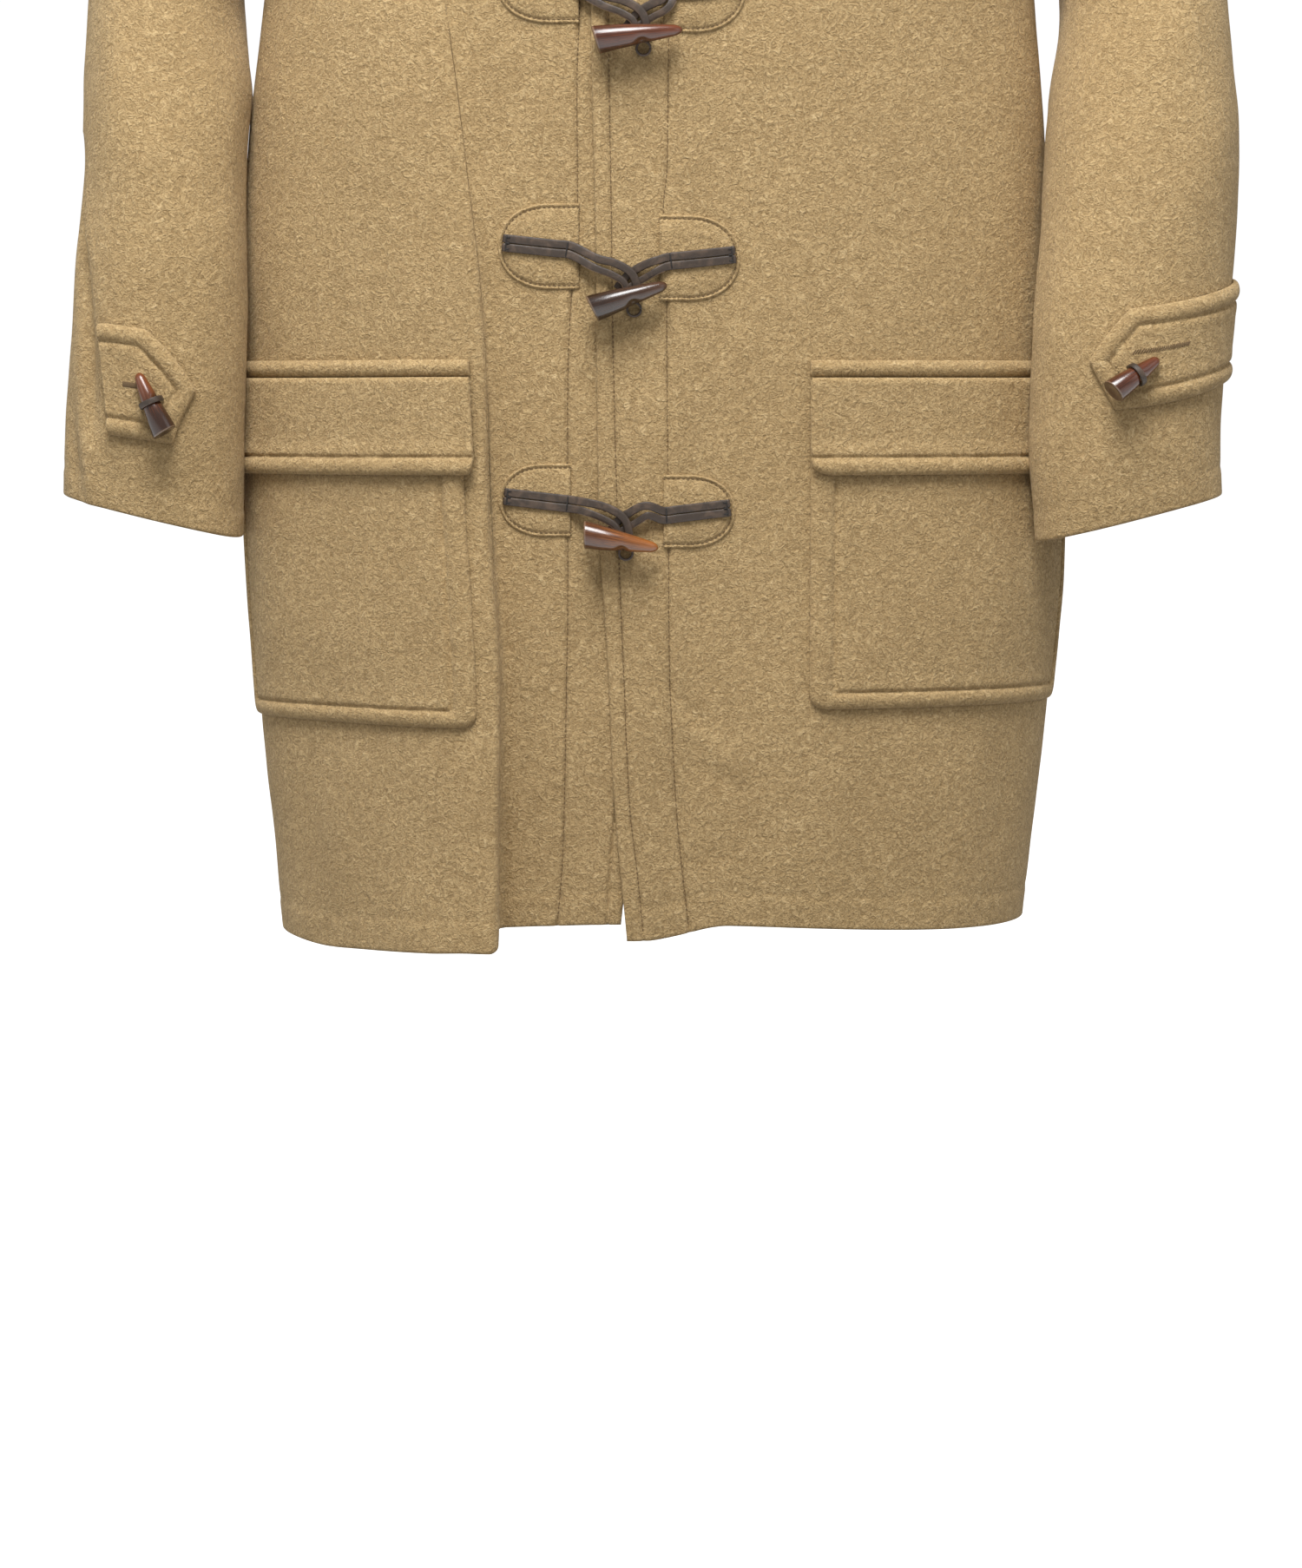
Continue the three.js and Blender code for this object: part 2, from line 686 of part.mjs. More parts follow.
addSleeve("sleeve_left", "left");
addSleeve("sleeve_right", "right");

// The neckline, by a turn from the centre front, on the straight runs between the panels' column lines.
function neckEdge(panel, columns) {
  return columns.map((column) => panelPoint(panel, column, upperRows[0], 0));
}

const neckEdges = {
  left: neckEdge(panels.frontLeft, count(0, 6)),
  right: neckEdge({ ...panels.frontRight, surface: plainBody }, count(3, 9)),
  back: neckEdge(panels.back, count(8, 17)),
};

function neckPoint(turn) {
  const x = neckHalfWidth * Math.sin(turn);
  const edge = neckEdges[Math.cos(turn) < 0 ? "back" : x < 0 ? "left" : "right"];
  for (let i = 1; i < edge.length; i += 1) {
    const a = edge[i - 1];
    const b = edge[i];
    if ((x - a.x) * (x - b.x) <= 0) {
      return a.clone().lerp(b, (x - a.x) / (b.x - a.x));
    }
  }
  return (Math.abs(edge[0].x - x) < 40 ? edge[0] : edge[edge.length - 1]).clone();
}

function hoodSurface(turn, part) {
  const size = Math.abs(turn) * 180 / Math.PI;
  const start = neckPoint(turn);
  start.z += hoodGap;
  const outward = new THREE.Vector3(Math.sin(turn), -Math.cos(turn), 0);
  const points = [start];
  for (const name of ["stand", "fall", "low", "rise", "rim"]) {
    const out = along(hoodSections, "turn", `${name}Out`, size);
    const up = along(hoodSections, "turn", `${name}Up`, size);
    points.push(start.clone().addScaledVector(outward, out).add(new THREE.Vector3(0, 0, up)));
  }
  return new THREE.CatmullRomCurve3(points, false, "centripetal").getPoint(clamp(part, 0, 1));
}

function addHood() {
  const start = degrees(hoodSections[0].turn);
  const turns = count(0, hoodColumns).map((i) => mix(start, 2 * Math.PI - start, i / hoodColumns));
  const signed = turns.map((turn) => turn > Math.PI ? turn - 2 * Math.PI : turn);
  const point = (turn, part, lift) => {
    const step = 0.01;
    const across = hoodSurface(turn + step, part).sub(hoodSurface(turn - step, part));
    const up = hoodSurface(turn, part + step).sub(hoodSurface(turn, part - step));
    return hoodSurface(turn, part).addScaledVector(across.cross(up).normalize(), lift);
  };
  const row = (i, lift) => signed.map((turn) => point(turn, i / hoodSteps, lift));
  const grid = (lift) => count(0, hoodSteps).map((i) => row(i, lift));
  addPiece("hood", wallGeometry(grid(0), grid(-cloth)), "wool");
}

addHood();

// A pocket, flap or welt on a front's outer columns, with its lower corners rounded by the given radius.
function addOverlay(name, panel, columns, rows, lift, thickness, corner) {
  const near = columns[0];
  const far = columns[columns.length - 1];
  const bottom = rows[rows.length - 1];
  const height = (column, z) => {
    if (z !== bottom || corner === 0) {
      return z;
    }
    return column === near || column === far ? z + corner : z;
  };
  const bulge = (r) => typeof thickness === "number" ? thickness : thickness[r];
  const grid = (layer) => rows.map((z, r) => columns.map((column) => (
    panelPoint(panel, column, height(column, z), lift + (layer ? bulge(r) : 0)))));
  addPiece(name, wallGeometry(grid(1), grid(0)), "wool");
}

function addPocket(side, panel, firstColumn, flapColumn, lastColumn, pocketBottom) {
  const pocketColumns = [firstColumn, firstColumn + 0.4, ...count(firstColumn + 1, lastColumn - 1)];
  const flapColumns = [flapColumn, ...pocketColumns];
  const pocketLevels = [levels.pocketTop, levels.flapBottom, ...pocketRows, pocketBottom];
  addOverlay(`pocket_${side}`, panel, pocketColumns, pocketLevels, overlayGap, cloth, 12);
  const flapLift = 2 * overlayGap + cloth;
  const flapLevels = [levels.flapTop - seamGap, levels.pocketTop, levels.flapBottom];
  addOverlay(`flap_${side}`, panel, flapColumns, flapLevels, flapLift, cloth, 9);
  const middle = (levels.weltTop + levels.flapTop) / 2;
  const weltLevels = [levels.weltTop, mix(levels.weltTop, middle, 0.5), middle,
    mix(levels.flapTop, middle, 0.5),
    levels.flapTop];
  const roll = [cloth, cloth + weltRoll, cloth + 1.3 * weltRoll, cloth + weltRoll, cloth];
  addOverlay(`welt_${side}`, panel, flapColumns, weltLevels, overlayGap, roll, 0);
}

addPocket("left", panels.frontLeft, 13, 12.2, 22, levels.pocketBottomLeft);
addPocket("right", panels.frontRight, 9, 8.95, 18, levels.pocketBottomRight);

// A point of a front by its place across and its height.
function frontPoint(side, x, z, lift) {
  const surface = side === "left" ? frontLeftSurface : frontRightSurface;
  const turn = turnAt(x, z);
  const point = surface(turn, z).addScaledVector(normalOf(surface, turn, z), lift);
  point.y -= seamGap / 2;
  return point;
}

function addTongue(name, side, closure) {
  const hand = side === "left" ? -1 : 1;
  const root = closure[side] - hand * closure.length;
  const acrossSteps = 6;
  const alongSteps = 4;
  const grid = (lift) => count(0, acrossSteps).map((i) => {
    const v = Math.sin(mix(-1, 1, i / acrossSteps) * Math.PI / 2);
    const round = (1 - Math.abs(v) ** tongue.roundness) ** (1 / tongue.roundness);
    const reach = closure.length * mix(tongue.straight, 1, round);
    const z = closure[`${side}Z`] + v * closure.height / 2;
    return count(0, alongSteps).map((k) => frontPoint(side, root + hand * reach * k / alongSteps, z, lift));
  });
  addPiece(name, wallGeometry(grid(overlayGap + cloth), grid(overlayGap)), "wool");
}

// A flat band along a path of points, each with its outward direction.
function bandGeometry(path, width, thickness) {
  const outer = [];
  const inner = [];
  path.forEach((stop, i) => {
    const before = path[Math.max(0, i - 1)].point;
    const after = path[Math.min(path.length - 1, i + 1)].point;
    const ahead = after.clone().sub(before).normalize();
    const across = ahead.clone().cross(stop.out).normalize();
    const out = across.clone().cross(ahead).normalize();
    const half = (stop.width ?? width) / 2;
    const low = stop.point;
    const high = low.clone().addScaledVector(out, thickness);
    inner.push([low.clone().addScaledVector(across, -half), low.clone().addScaledVector(across, half)]);
    outer.push([high.clone().addScaledVector(across, -half), high.clone().addScaledVector(across, half)]);
  });
  return wallGeometry(outer, inner);
}

function toggleRadius(shape, part) {
  return mix(shape.butt, shape.tip, part ** 1.25);
}

// A tapered toggle like a small tusk: rings along a bowed line from its butt to its tip.
function toggleGeometry(shape, butt, tip, bowTo) {
  const rings = [];
  const axis = tip.clone().sub(butt).normalize();
  const side = bowTo.clone().cross(axis).normalize();
  const up = axis.clone().cross(side).normalize();
  for (let i = 0; i <= shape.steps; i += 1) {
    const part = i / shape.steps;
    const centre = butt.clone().lerp(tip, part).addScaledVector(up, shape.bow * 4 * part * (1 - part));
    const radius = toggleRadius(shape, part) * (i === 0 ? 0.9 : 1);
    rings.push(count(0, shape.sides - 1).map((k) => {
      const angle = k * 2 * Math.PI / shape.sides;
      return centre.clone().addScaledVector(side, radius * Math.cos(angle))
        .addScaledVector(up, radius * Math.sin(angle));
    }));
  }
  const positions = [];
  const faces = [];
  rings.flat().forEach((p) => positions.push(p.x, p.y, p.z));
  const n = shape.sides;
  const at = (r, k) => r * n + k % n;
  for (let r = 0; r < shape.steps; r += 1) {
    for (let k = 0; k < n; k += 1) {
      faces.push(at(r, k), at(r, k + 1), at(r + 1, k + 1), at(r, k), at(r + 1, k + 1), at(r + 1, k));
    }
  }
  for (let k = 1; k < n - 1; k += 1) {
    faces.push(at(0, 0), at(0, k + 1), at(0, k));
    faces.push(at(shape.steps, 0), at(shape.steps, k), at(shape.steps, k + 1));
  }
  return outwardGeometry(positions, faces);
}

const outOfFront = new THREE.Vector3(0, -1, 0);

function strapStop(side, x, z, lift, width) {
  const surface = side === "left" ? frontLeftSurface : frontRightSurface;
  return { point: frontPoint(side, x, z, lift), out: normalOf(surface, turnAt(x, z), z), width };
}

// A strap flat on its tongue, then on its tail to the toggle.
function addStrap(name, side, closure, tail) {
  const hand = side === "left" ? 1 : -1;
  const onTongue = overlayGap + cloth + seat + 0.1;
  const tongueZ = closure[`${side}Z`];
  const path = [0, 0.25, 0.5, 0.75, 1].map((part) => {
    const x = closure[side] + hand * (strap.start + strap.flat * part);
    return strapStop(side, x, tongueZ + strap.rise - strap.fall * part, onTongue, strap.width);
  });
  for (const stop of tail) {
    const z = closure.toggleZ + stop.up;
    path.push(strapStop("right", closure.toggleX + stop.x, z, stop.lift, stop.width));
  }
  addPiece(name, bandGeometry(path, strap.width, leather), "leather");
}

// A closure: two tongues, two leather straps that meet behind the toggle, and the toggle on them.
function addClosure(closure, number) {
  addTongue(`patch_left_${number}`, "left", closure);
  addTongue(`patch_right_${number}`, "right", closure);
  addStrap(`strap_left_${number}`, "left", closure, leftTail);
  addStrap(`strap_right_${number}`, "right", closure, rightTail);
  const centre = frontPoint("right", closure.toggleX, closure.toggleZ, toggleShape.lift);
  const tilt = degrees(closure.tilt);
  const half = new THREE.Vector3(Math.cos(tilt), 0, Math.sin(tilt)).multiplyScalar(closure.toggleLength / 2);
  const butt = centre.clone().sub(half);
  const tip = centre.clone().add(half);
  addPiece(`toggle_${number}`, toggleGeometry(toggleShape, butt, tip, outOfFront), "horn");
}

closures.forEach((closure, i) => addClosure(closure, i + 1));

// The sleeve row at which a line round it has a height.
function sleeveRowAt(side, angle, z) {
  let low = 5;
  let high = sleeveSections[side].length;
  for (let i = 0; i < 30; i += 1) {
    const middle = (low + high) / 2;
    if (sleeveSurface(side, angle, middle).z > z) {
      low = middle;
    } else {
      high = middle;
    }
  }
  return (low + high) / 2;
}

function cuffPoint(side, angle, z, lift) {
  const row = sleeveRowAt(side, angle, z);
  return sleeveSurface(side, angle, row).addScaledVector(sleeveNormal(side, angle, row), lift);
}

function addCuff(side) {
  const tab = cuffTabs[side];
  const tabPoint = (i, k, extra) => {
    const v = k / cuffTab.rows;
    const shoulder = mix(tab.shoulder, tab.shoulderLow, v);
    const reach = mix(shoulder, tab.point, 1 - Math.abs(2 * v - 1) ** cuffTab.pointed);
    const angle = degrees(mix(mix(tab.start, tab.startLow, v), reach, i / tab.columns));
    const drop = tab.drop * smooth((angle - degrees(tab.start)) / degrees(tab.point - tab.start));
    return cuffPoint(side, angle, mix(tab.topZ, tab.bottomZ, v) - drop, cuffTab.gap + extra);
  };
  const grid = (extra) => count(0, cuffTab.rows).map((k) =>
    count(0, tab.columns).map((i) => tabPoint(i, k, extra)));
  addPiece(`cuff_tab_${side}`, wallGeometry(grid(cloth), grid(0)), "wool");
  const turn = degrees(tab.toggleTurn);
  const out = sleeveNormal(side, turn, sleeveRowAt(side, turn, tab.toggleZ));
  const shape = cuffToggleShape;
  const centre = cuffPoint(side, turn, tab.toggleZ, cuffTab.gap + cloth + tab.onTab);
  const axis = tab.lean.clone().addScaledVector(out, -tab.lean.dot(out)).normalize();
  axis.addScaledVector(out, (shape.tip - shape.butt) / shape.length).normalize();
  const butt = centre.clone().addScaledVector(axis, -shape.length / 2);
  const tip = centre.clone().addScaledVector(axis, shape.length / 2);
  addPiece(`cuff_toggle_${side}`, toggleGeometry(shape, butt, tip, out), "horn");
  const across = axis.clone().cross(out).normalize();
  const up = across.clone().cross(axis);
  const reach = toggleRadius(shape, 0.5) + cuffLoop.clear;
  const middle = centre.clone().addScaledVector(up, shape.bow);
  const arc = cuffLoop.stops.map((stop) => {
    const direction = up.clone().multiplyScalar(Math.cos(degrees(stop)))
      .addScaledVector(across, Math.sin(degrees(stop)));
    return { point: middle.clone().addScaledVector(direction, reach), out: direction };
  });
  const leg = (stop) => ({
    point: stop.point.clone().addScaledVector(out, tab.rooted - shape.bow - tab.onTab),
    out: stop.out,
  });
  const path = [leg(arc[0]), ...arc, leg(arc[arc.length - 1])];
  addPiece(`cuff_loop_${side}`, bandGeometry(path, cuffLoop.width, cuffLoop.thickness), "leather");
}

addCuff("left");
addCuff("right");

export default coat;
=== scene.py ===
import math

import bpy
import numpy as np
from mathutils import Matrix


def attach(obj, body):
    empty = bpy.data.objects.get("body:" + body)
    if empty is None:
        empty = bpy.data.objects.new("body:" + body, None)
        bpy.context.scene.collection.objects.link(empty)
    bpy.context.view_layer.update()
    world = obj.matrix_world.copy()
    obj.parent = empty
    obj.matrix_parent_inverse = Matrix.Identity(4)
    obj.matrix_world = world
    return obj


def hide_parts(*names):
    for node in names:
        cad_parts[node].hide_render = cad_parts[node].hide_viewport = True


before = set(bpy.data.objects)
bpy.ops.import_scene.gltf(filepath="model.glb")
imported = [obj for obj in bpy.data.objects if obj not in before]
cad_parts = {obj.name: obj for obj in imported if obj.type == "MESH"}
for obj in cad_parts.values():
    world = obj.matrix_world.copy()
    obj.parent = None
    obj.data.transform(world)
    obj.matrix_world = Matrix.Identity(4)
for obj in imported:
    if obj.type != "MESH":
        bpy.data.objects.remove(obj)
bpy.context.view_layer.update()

scene = bpy.context.scene
mm = 0.001

# Sizes below are in millimetres; +X is the viewer's right, the front faces -Y, +Z is up.


def table(names, *rows):
    rows = sorted(rows)
    return {name: np.array([row[i] for row in rows], float) for i, name in enumerate(names.split())}


def along(rows, by, column, at):  # a smooth curve through the rows of a table
    x, y = rows[by], rows[column]
    last = len(x) - 1
    low = np.maximum(np.arange(last + 1) - 1, 0)
    high = np.minimum(np.arange(last + 1) + 1, last)
    slope = (y[high] - y[low]) / (x[high] - x[low])
    at = np.clip(at, x[0], x[-1])
    i = np.clip(np.searchsorted(x, at) - 1, 0, last - 1)
    span = x[i + 1] - x[i]
    t = (at - x[i]) / span
    t2, t3 = t * t, t * t * t
    return (y[i] * (2 * t3 - 3 * t2 + 1) + y[i + 1] * (3 * t2 - 2 * t3)
            + span * (slope[i] * (t3 - 2 * t2 + t) + slope[i + 1] * (t3 - t2)))


def smooth(value):
    t = np.clip(value, 0, 1)
    return t * t * (3 - 2 * t)


def mix(a, b, t):
    return a + (b - a) * t


def power(value, exponent):
    return np.sign(value) * np.abs(value) ** exponent


def unit(vectors):
    return vectors / np.maximum(np.linalg.norm(vectors, axis=-1, keepdims=True), 1e-9)


def fan(*points):  # coordinates side by side, as points
    return np.stack(np.broadcast_arrays(*points), -1)


# The camera stands where the photograph was taken from; the light comes from above.

view = dict(distance=2.3, down=7.0, height=-0.842, seen=1.12875)
studio = dict(floor=-1.6, half=30, paper=(0.9, 0.9, 0.9), glow=0.8, seen=1.02, world=0.42)
lamps = {
    "top": dict(at=(-0.15, -1.25, 1.5), aim=(0, 0, -0.5), size=1.1, watts=78),
    "left": dict(at=(-2.6, -1.5, 0.8), aim=(0, 0, -0.4), size=1.6, watts=10),
    "right": dict(at=(2.6, -1.5, 0.7), aim=(0, 0, -0.4), size=1.6, watts=8),
    "back": dict(at=(0.0, 2.2, 1.4), aim=(0, 0, -0.5), size=1.6, watts=60),
}


def addCamera():
    data = bpy.data.cameras.new("camera")
    data.sensor_fit = "VERTICAL"
    data.sensor_height = 36
    data.lens = data.sensor_height * view["distance"] / view["seen"]
    down = math.radians(view["down"])
    camera = bpy.data.objects.new("camera", data)
    back, up = view["distance"] * math.cos(down), view["distance"] * math.sin(down)
    camera.location = (0, -back, view["height"] + up)
    camera.rotation_euler = (math.pi / 2 - down, 0, 0)
    scene.collection.objects.link(camera)
    scene.camera = camera


def addStudio():
    mesh = bpy.data.meshes.new("floor")
    half, z = studio["half"], studio["floor"]
    corners = [(-half, -half, z), (half, -half, z), (half, half, z), (-half, half, z)]
    mesh.from_pydata(corners, [], [(0, 1, 2, 3)])
    floor = bpy.data.objects.new("floor", mesh)
    scene.collection.objects.link(floor)
    paper = bpy.data.materials.new("paper")
    paper.use_nodes = True
    surface = paper.node_tree.nodes["Principled BSDF"].inputs
    surface["Base Color"].default_value = (*studio["paper"], 1)
    surface["Roughness"].default_value = 0.9
    surface["Emission Color"].default_value = (1, 1, 1, 1)
    surface["Emission Strength"].default_value = studio["glow"]
    floor.visible_diffuse = False
    mesh.materials.append(paper)
    world = bpy.data.worlds.new("studio")
    world.use_nodes = True
    tree = world.node_tree
    soft = tree.nodes["Background"]
    seen = tree.nodes.new("ShaderNodeBackground")  # what the camera sees past the floor
    soft.inputs["Color"].default_value = (1, 0.985, 0.96, 1)
    soft.inputs["Strength"].default_value = studio["world"]
    seen.inputs["Color"].default_value = (1, 1, 1, 1)
    seen.inputs["Strength"].default_value = studio["seen"]
    either = tree.nodes.new("ShaderNodeMixShader")
    path = tree.nodes.new("ShaderNodeLightPath")
    tree.links.new(path.outputs["Is Camera Ray"], either.inputs[0])
    tree.links.new(soft.outputs[0], either.inputs[1])
    tree.links.new(seen.outputs[0], either.inputs[2])
    tree.links.new(either.outputs[0], tree.nodes["World Output"].inputs["Surface"])
    scene.world = world
    scene.view_settings.view_transform = "Standard"
    for name, lamp in lamps.items():
        data = bpy.data.lights.new(name, "AREA")
        data.size = lamp["size"]
        data.energy = lamp["watts"]
        light = bpy.data.objects.new(name, data)
        light.location = lamp["at"]
        aim = [b - a for a, b in zip(lamp["at"], lamp["aim"])]
        flat = math.hypot(aim[0], aim[1])
        light.rotation_euler = (math.atan2(flat, -aim[2]), 0, math.atan2(aim[1], aim[0]) - math.pi / 2)
        scene.collection.objects.link(light)


addCamera()
addStudio()
print("camera, floor and light set")


# Wool, leather, horn and thread

wool = dict(
    base=(0.495, 0.342, 0.164), deep=(0.305, 0.200, 0.088), pale=(0.70, 0.53, 0.295),
    fleck=300, curl=1.6, fibre=1100, cloud=14, bump=1.0, bumpDistance=0.0016,
    sheen=0.22, sheenRoughness=0.45,
)
leather = dict(base=(0.034, 0.021, 0.013), worn=(0.088, 0.056, 0.036),
    grain=1500, wear=120, roughness=0.52, bumpDistance=0.0002)
raw = dict(base=(0.19, 0.125, 0.075), worn=(0.11, 0.07, 0.042))
hornRim = (0.26, 0.17, 0.105)
horns = {
    "hornRed": dict(dark=(0.046, 0.013, 0.006), light=(0.17, 0.042, 0.014), fromTip=0.2),
    "hornDark": dict(dark=(0.022, 0.010, 0.006), light=(0.078, 0.032, 0.015), fromTip=0.3),
    "hornAmber": dict(dark=(0.085, 0.026, 0.008), light=(0.34, 0.115, 0.025), fromTip=0.4),
    "hornTwo": dict(dark=(0.034, 0.013, 0.007), light=(0.155, 0.042, 0.012), fromTip=0.7),
}
threads = dict(
    wool=dict(base=(0.17, 0.105, 0.045), roughness=0.8),
    dark=dict(base=(0.014, 0.010, 0.008), roughness=0.7),
)


class Nodes:  # a material's node tree with short calls
    def __init__(self, name):
        self.material = bpy.data.materials.new(name)
        self.material.use_nodes = True
        self.tree = self.material.node_tree
        self.shader = self.tree.nodes["Principled BSDF"]

    def add(self, kind, **values):
        node = self.tree.nodes.new("ShaderNode" + kind)
        for key, value in values.items():
            setattr(node, key, value)
        return node

    def link(self, a, b):
        self.tree.links.new(a, b)

    def set(self, node, **values):  # an input's name has _ for each space
        for key, value in values.items():
            node.inputs[key.replace("_", " ")].default_value = value

    def noise(self, source, scale, detail=3.0, roughness=0.5, distortion=0.0):
        node = self.add("TexNoise")
        self.set(node, Scale=scale, Detail=detail, Roughness=roughness, Distortion=distortion)
        self.link(source, node.inputs["Vector"])
        return node.outputs["Fac"]

    def span(self, source, low, high, toLow=0.0, toHigh=1.0):
        node = self.add("MapRange", interpolation_type="SMOOTHSTEP")
        for i, value in enumerate((low, high, toLow, toHigh)):
            node.inputs[i + 1].default_value = value
        self.link(source, node.inputs[0])
        return node.outputs[0]

    def blend(self, amount, a, b):
        node = self.add("Mix", data_type="RGBA")
        for socket, value in ((node.inputs[0], amount), (node.inputs[6], a), (node.inputs[7], b)):
            if isinstance(value, bpy.types.NodeSocket):
                self.link(value, socket)
            elif isinstance(value, float):
                socket.default_value = value
            else:
                socket.default_value = (*value, 1)
        return node.outputs[2]

    def math(self, operation, a, b):
        node = self.add("Math", operation=operation)
        for socket, value in zip(node.inputs, (a, b)):
            if isinstance(value, bpy.types.NodeSocket):
                self.link(value, socket)
            else:
                socket.default_value = value
        return node.outputs[0]

    def bump(self, height, strength, distance):
        node = self.add("Bump")
        self.set(node, Strength=strength, Distance=distance)
        self.link(height, node.inputs["Height"])
        self.link(node.outputs["Normal"], self.shader.inputs["Normal"])


def woolMaterial():
    m = Nodes("napped_wool")
    place = m.add("TexCoord").outputs["Object"]
    fleck = m.noise(place, wool["fleck"], 3.0, 0.62, wool["curl"])
    fibre = m.noise(place, wool["fibre"], 2.0, 0.6, 0.6)
    cloud = m.noise(place, wool["cloud"], 2.0, 0.5)
    lint = m.noise(place, wool["fleck"] * 0.42, 2.0, 0.5, 1.4)
    colour = m.blend(m.span(fleck, 0.36, 0.60), wool["deep"], wool["base"])
    colour = m.blend(m.span(fleck, 0.55, 0.74, 0, 0.8), colour, wool["pale"])
    colour = m.blend(m.span(fibre, 0.35, 0.7, 0, 0.30), colour, wool["pale"])
    colour = m.blend(m.span(lint, 0.30, 0.62, 0.22, 0.0), colour, wool["deep"])
    colour = m.blend(m.span(cloud, 0.35, 0.7, 0, 0.16), colour, wool["deep"])
    m.link(colour, m.shader.inputs["Base Color"])
    height = m.math("ADD", fleck, m.math("MULTIPLY", fibre, 0.35))
    height = m.math("ADD", height, m.math("MULTIPLY", lint, 0.8))
    m.bump(height, wool["bump"], wool["bumpDistance"])
    m.set(m.shader, Roughness=0.95, Specular_IOR_Level=0.15, Sheen_Weight=wool["sheen"],
          Sheen_Roughness=wool["sheenRoughness"], Sheen_Tint=(0.95, 0.82, 0.6, 1))
    return m.material


def leatherMaterial(name, tone):
    m = Nodes(name)
    place = m.add("TexCoord").outputs["Object"]
    grain = m.noise(place, leather["grain"], 3.0, 0.6)
    wear = m.noise(place, leather["wear"], 3.0, 0.6, 0.5)
    colour = m.blend(m.span(wear, 0.42, 0.72), tone["base"], tone["worn"])
    m.link(colour, m.shader.inputs["Base Color"])
    smoothest, roughest = leather["roughness"] - 0.08, leather["roughness"] + 0.14
    m.link(m.span(grain, 0.3, 0.7, smoothest, roughest), m.shader.inputs["Roughness"])
    m.bump(grain, 0.6, leather["bumpDistance"])
    return m.material


def hornMaterial(name):
    horn = horns[name]
    m = Nodes(name)
    uv = m.add("UVMap", uv_map="grain").outputs["UV"]
    stretch = m.add("Mapping")
    m.link(uv, stretch.inputs["Vector"])
    stretch.inputs["Scale"].default_value = (2.2, 26, 1)
    streak = m.noise(stretch.outputs["Vector"], 1.0, 5.0, 0.62, 1.6)
    parts = m.add("SeparateXYZ")
    m.link(uv, parts.inputs[0])
    tone = m.math("ADD", streak, m.math("MULTIPLY", parts.outputs[0], horn["fromTip"]))
    tone = m.math("ADD", tone, -horn["fromTip"] / 2)
    colour = m.blend(m.span(tone, 0.34, 0.72), horn["dark"], horn["light"])
    fromButt = parts.outputs[0]
    rim = m.math("MULTIPLY", m.span(fromButt, 0.0, 0.004), m.span(fromButt, 0.014, 0.034, 1.0, 0.0))
    colour = m.blend(m.math("MULTIPLY", rim, 0.55), colour, hornRim)
    m.link(colour, m.shader.inputs["Base Color"])
    m.set(m.shader, Roughness=0.24, Coat_Weight=0.35, Coat_Roughness=0.16)
    m.bump(streak, 0.25, 0.0002)
    return m.material


def threadMaterial(name):
    thread = threads[name]
    m = Nodes(name + "_thread")
    place = m.add("TexCoord").outputs["Object"]
    twist = m.noise(place, 2600, 2.0)
    low = tuple(0.7 * c for c in thread["base"])
    m.link(m.blend(m.span(twist, 0.35, 0.65), low, thread["base"]), m.shader.inputs["Base Color"])
    m.set(m.shader, Roughness=thread["roughness"])
    m.bump(twist, 0.5, 0.0002)
    return m.material


materials = {"wool": woolMaterial(), "leather": leatherMaterial("dark_leather", leather)}
materials["rawEdge"] = leatherMaterial("raw_leather_edge", raw)
materials.update({name: hornMaterial(name) for name in horns})
materials.update({name + "Thread": threadMaterial(name) for name in threads})
print("materials made")


# Meshes: grids of points in millimetres, made into closed walls

def meshOf(name, points, faces, material, uv=None):
    mesh = bpy.data.meshes.new(name)
    mesh.from_pydata((points * mm).tolist(), [], faces)
    mesh.materials.append(materials[material])
    if uv is not None:
        layer = mesh.uv_layers.new(name="grain")
        corner = np.zeros(len(mesh.loops), np.int32)
        mesh.loops.foreach_get("vertex_index", corner)
        layer.data.foreach_set("uv", uv[corner].astype(np.float32).ravel())
    mesh.polygons.foreach_set("use_smooth", np.ones(len(mesh.polygons), bool))
    mesh.update()
    obj = bpy.data.objects.new(name, mesh)
    scene.collection.objects.link(obj)
    return obj


def signedVolume(points, faces):
    total = 0.0
    for face in faces:
        for i in range(1, len(face) - 1):
            total += float(np.dot(points[face[0]], np.cross(points[face[i]], points[face[i + 1]])))
    return total


def gridFaces(index, closed=False):
    if closed:
        index = np.concatenate((index, index[:, :1]), 1)
    quads = fan(index[:-1, :-1], index[1:, :-1], index[1:, 1:], index[:-1, 1:])
    return quads.reshape(-1, 4)


wallStep = 4  # the inside of a cloth wall has one point for so many of the outside


def rimFaces(fine, coarse, turned):
    faces = []
    for k in range(len(coarse) - 1):
        for j in range(k * wallStep, (k + 1) * wallStep):
            faces.append((fine[j], fine[j + 1], coarse[k]))
        faces.append((fine[(k + 1) * wallStep], coarse[k + 1], coarse[k]))
    return [tuple(reversed(f)) for f in faces] if turned else faces


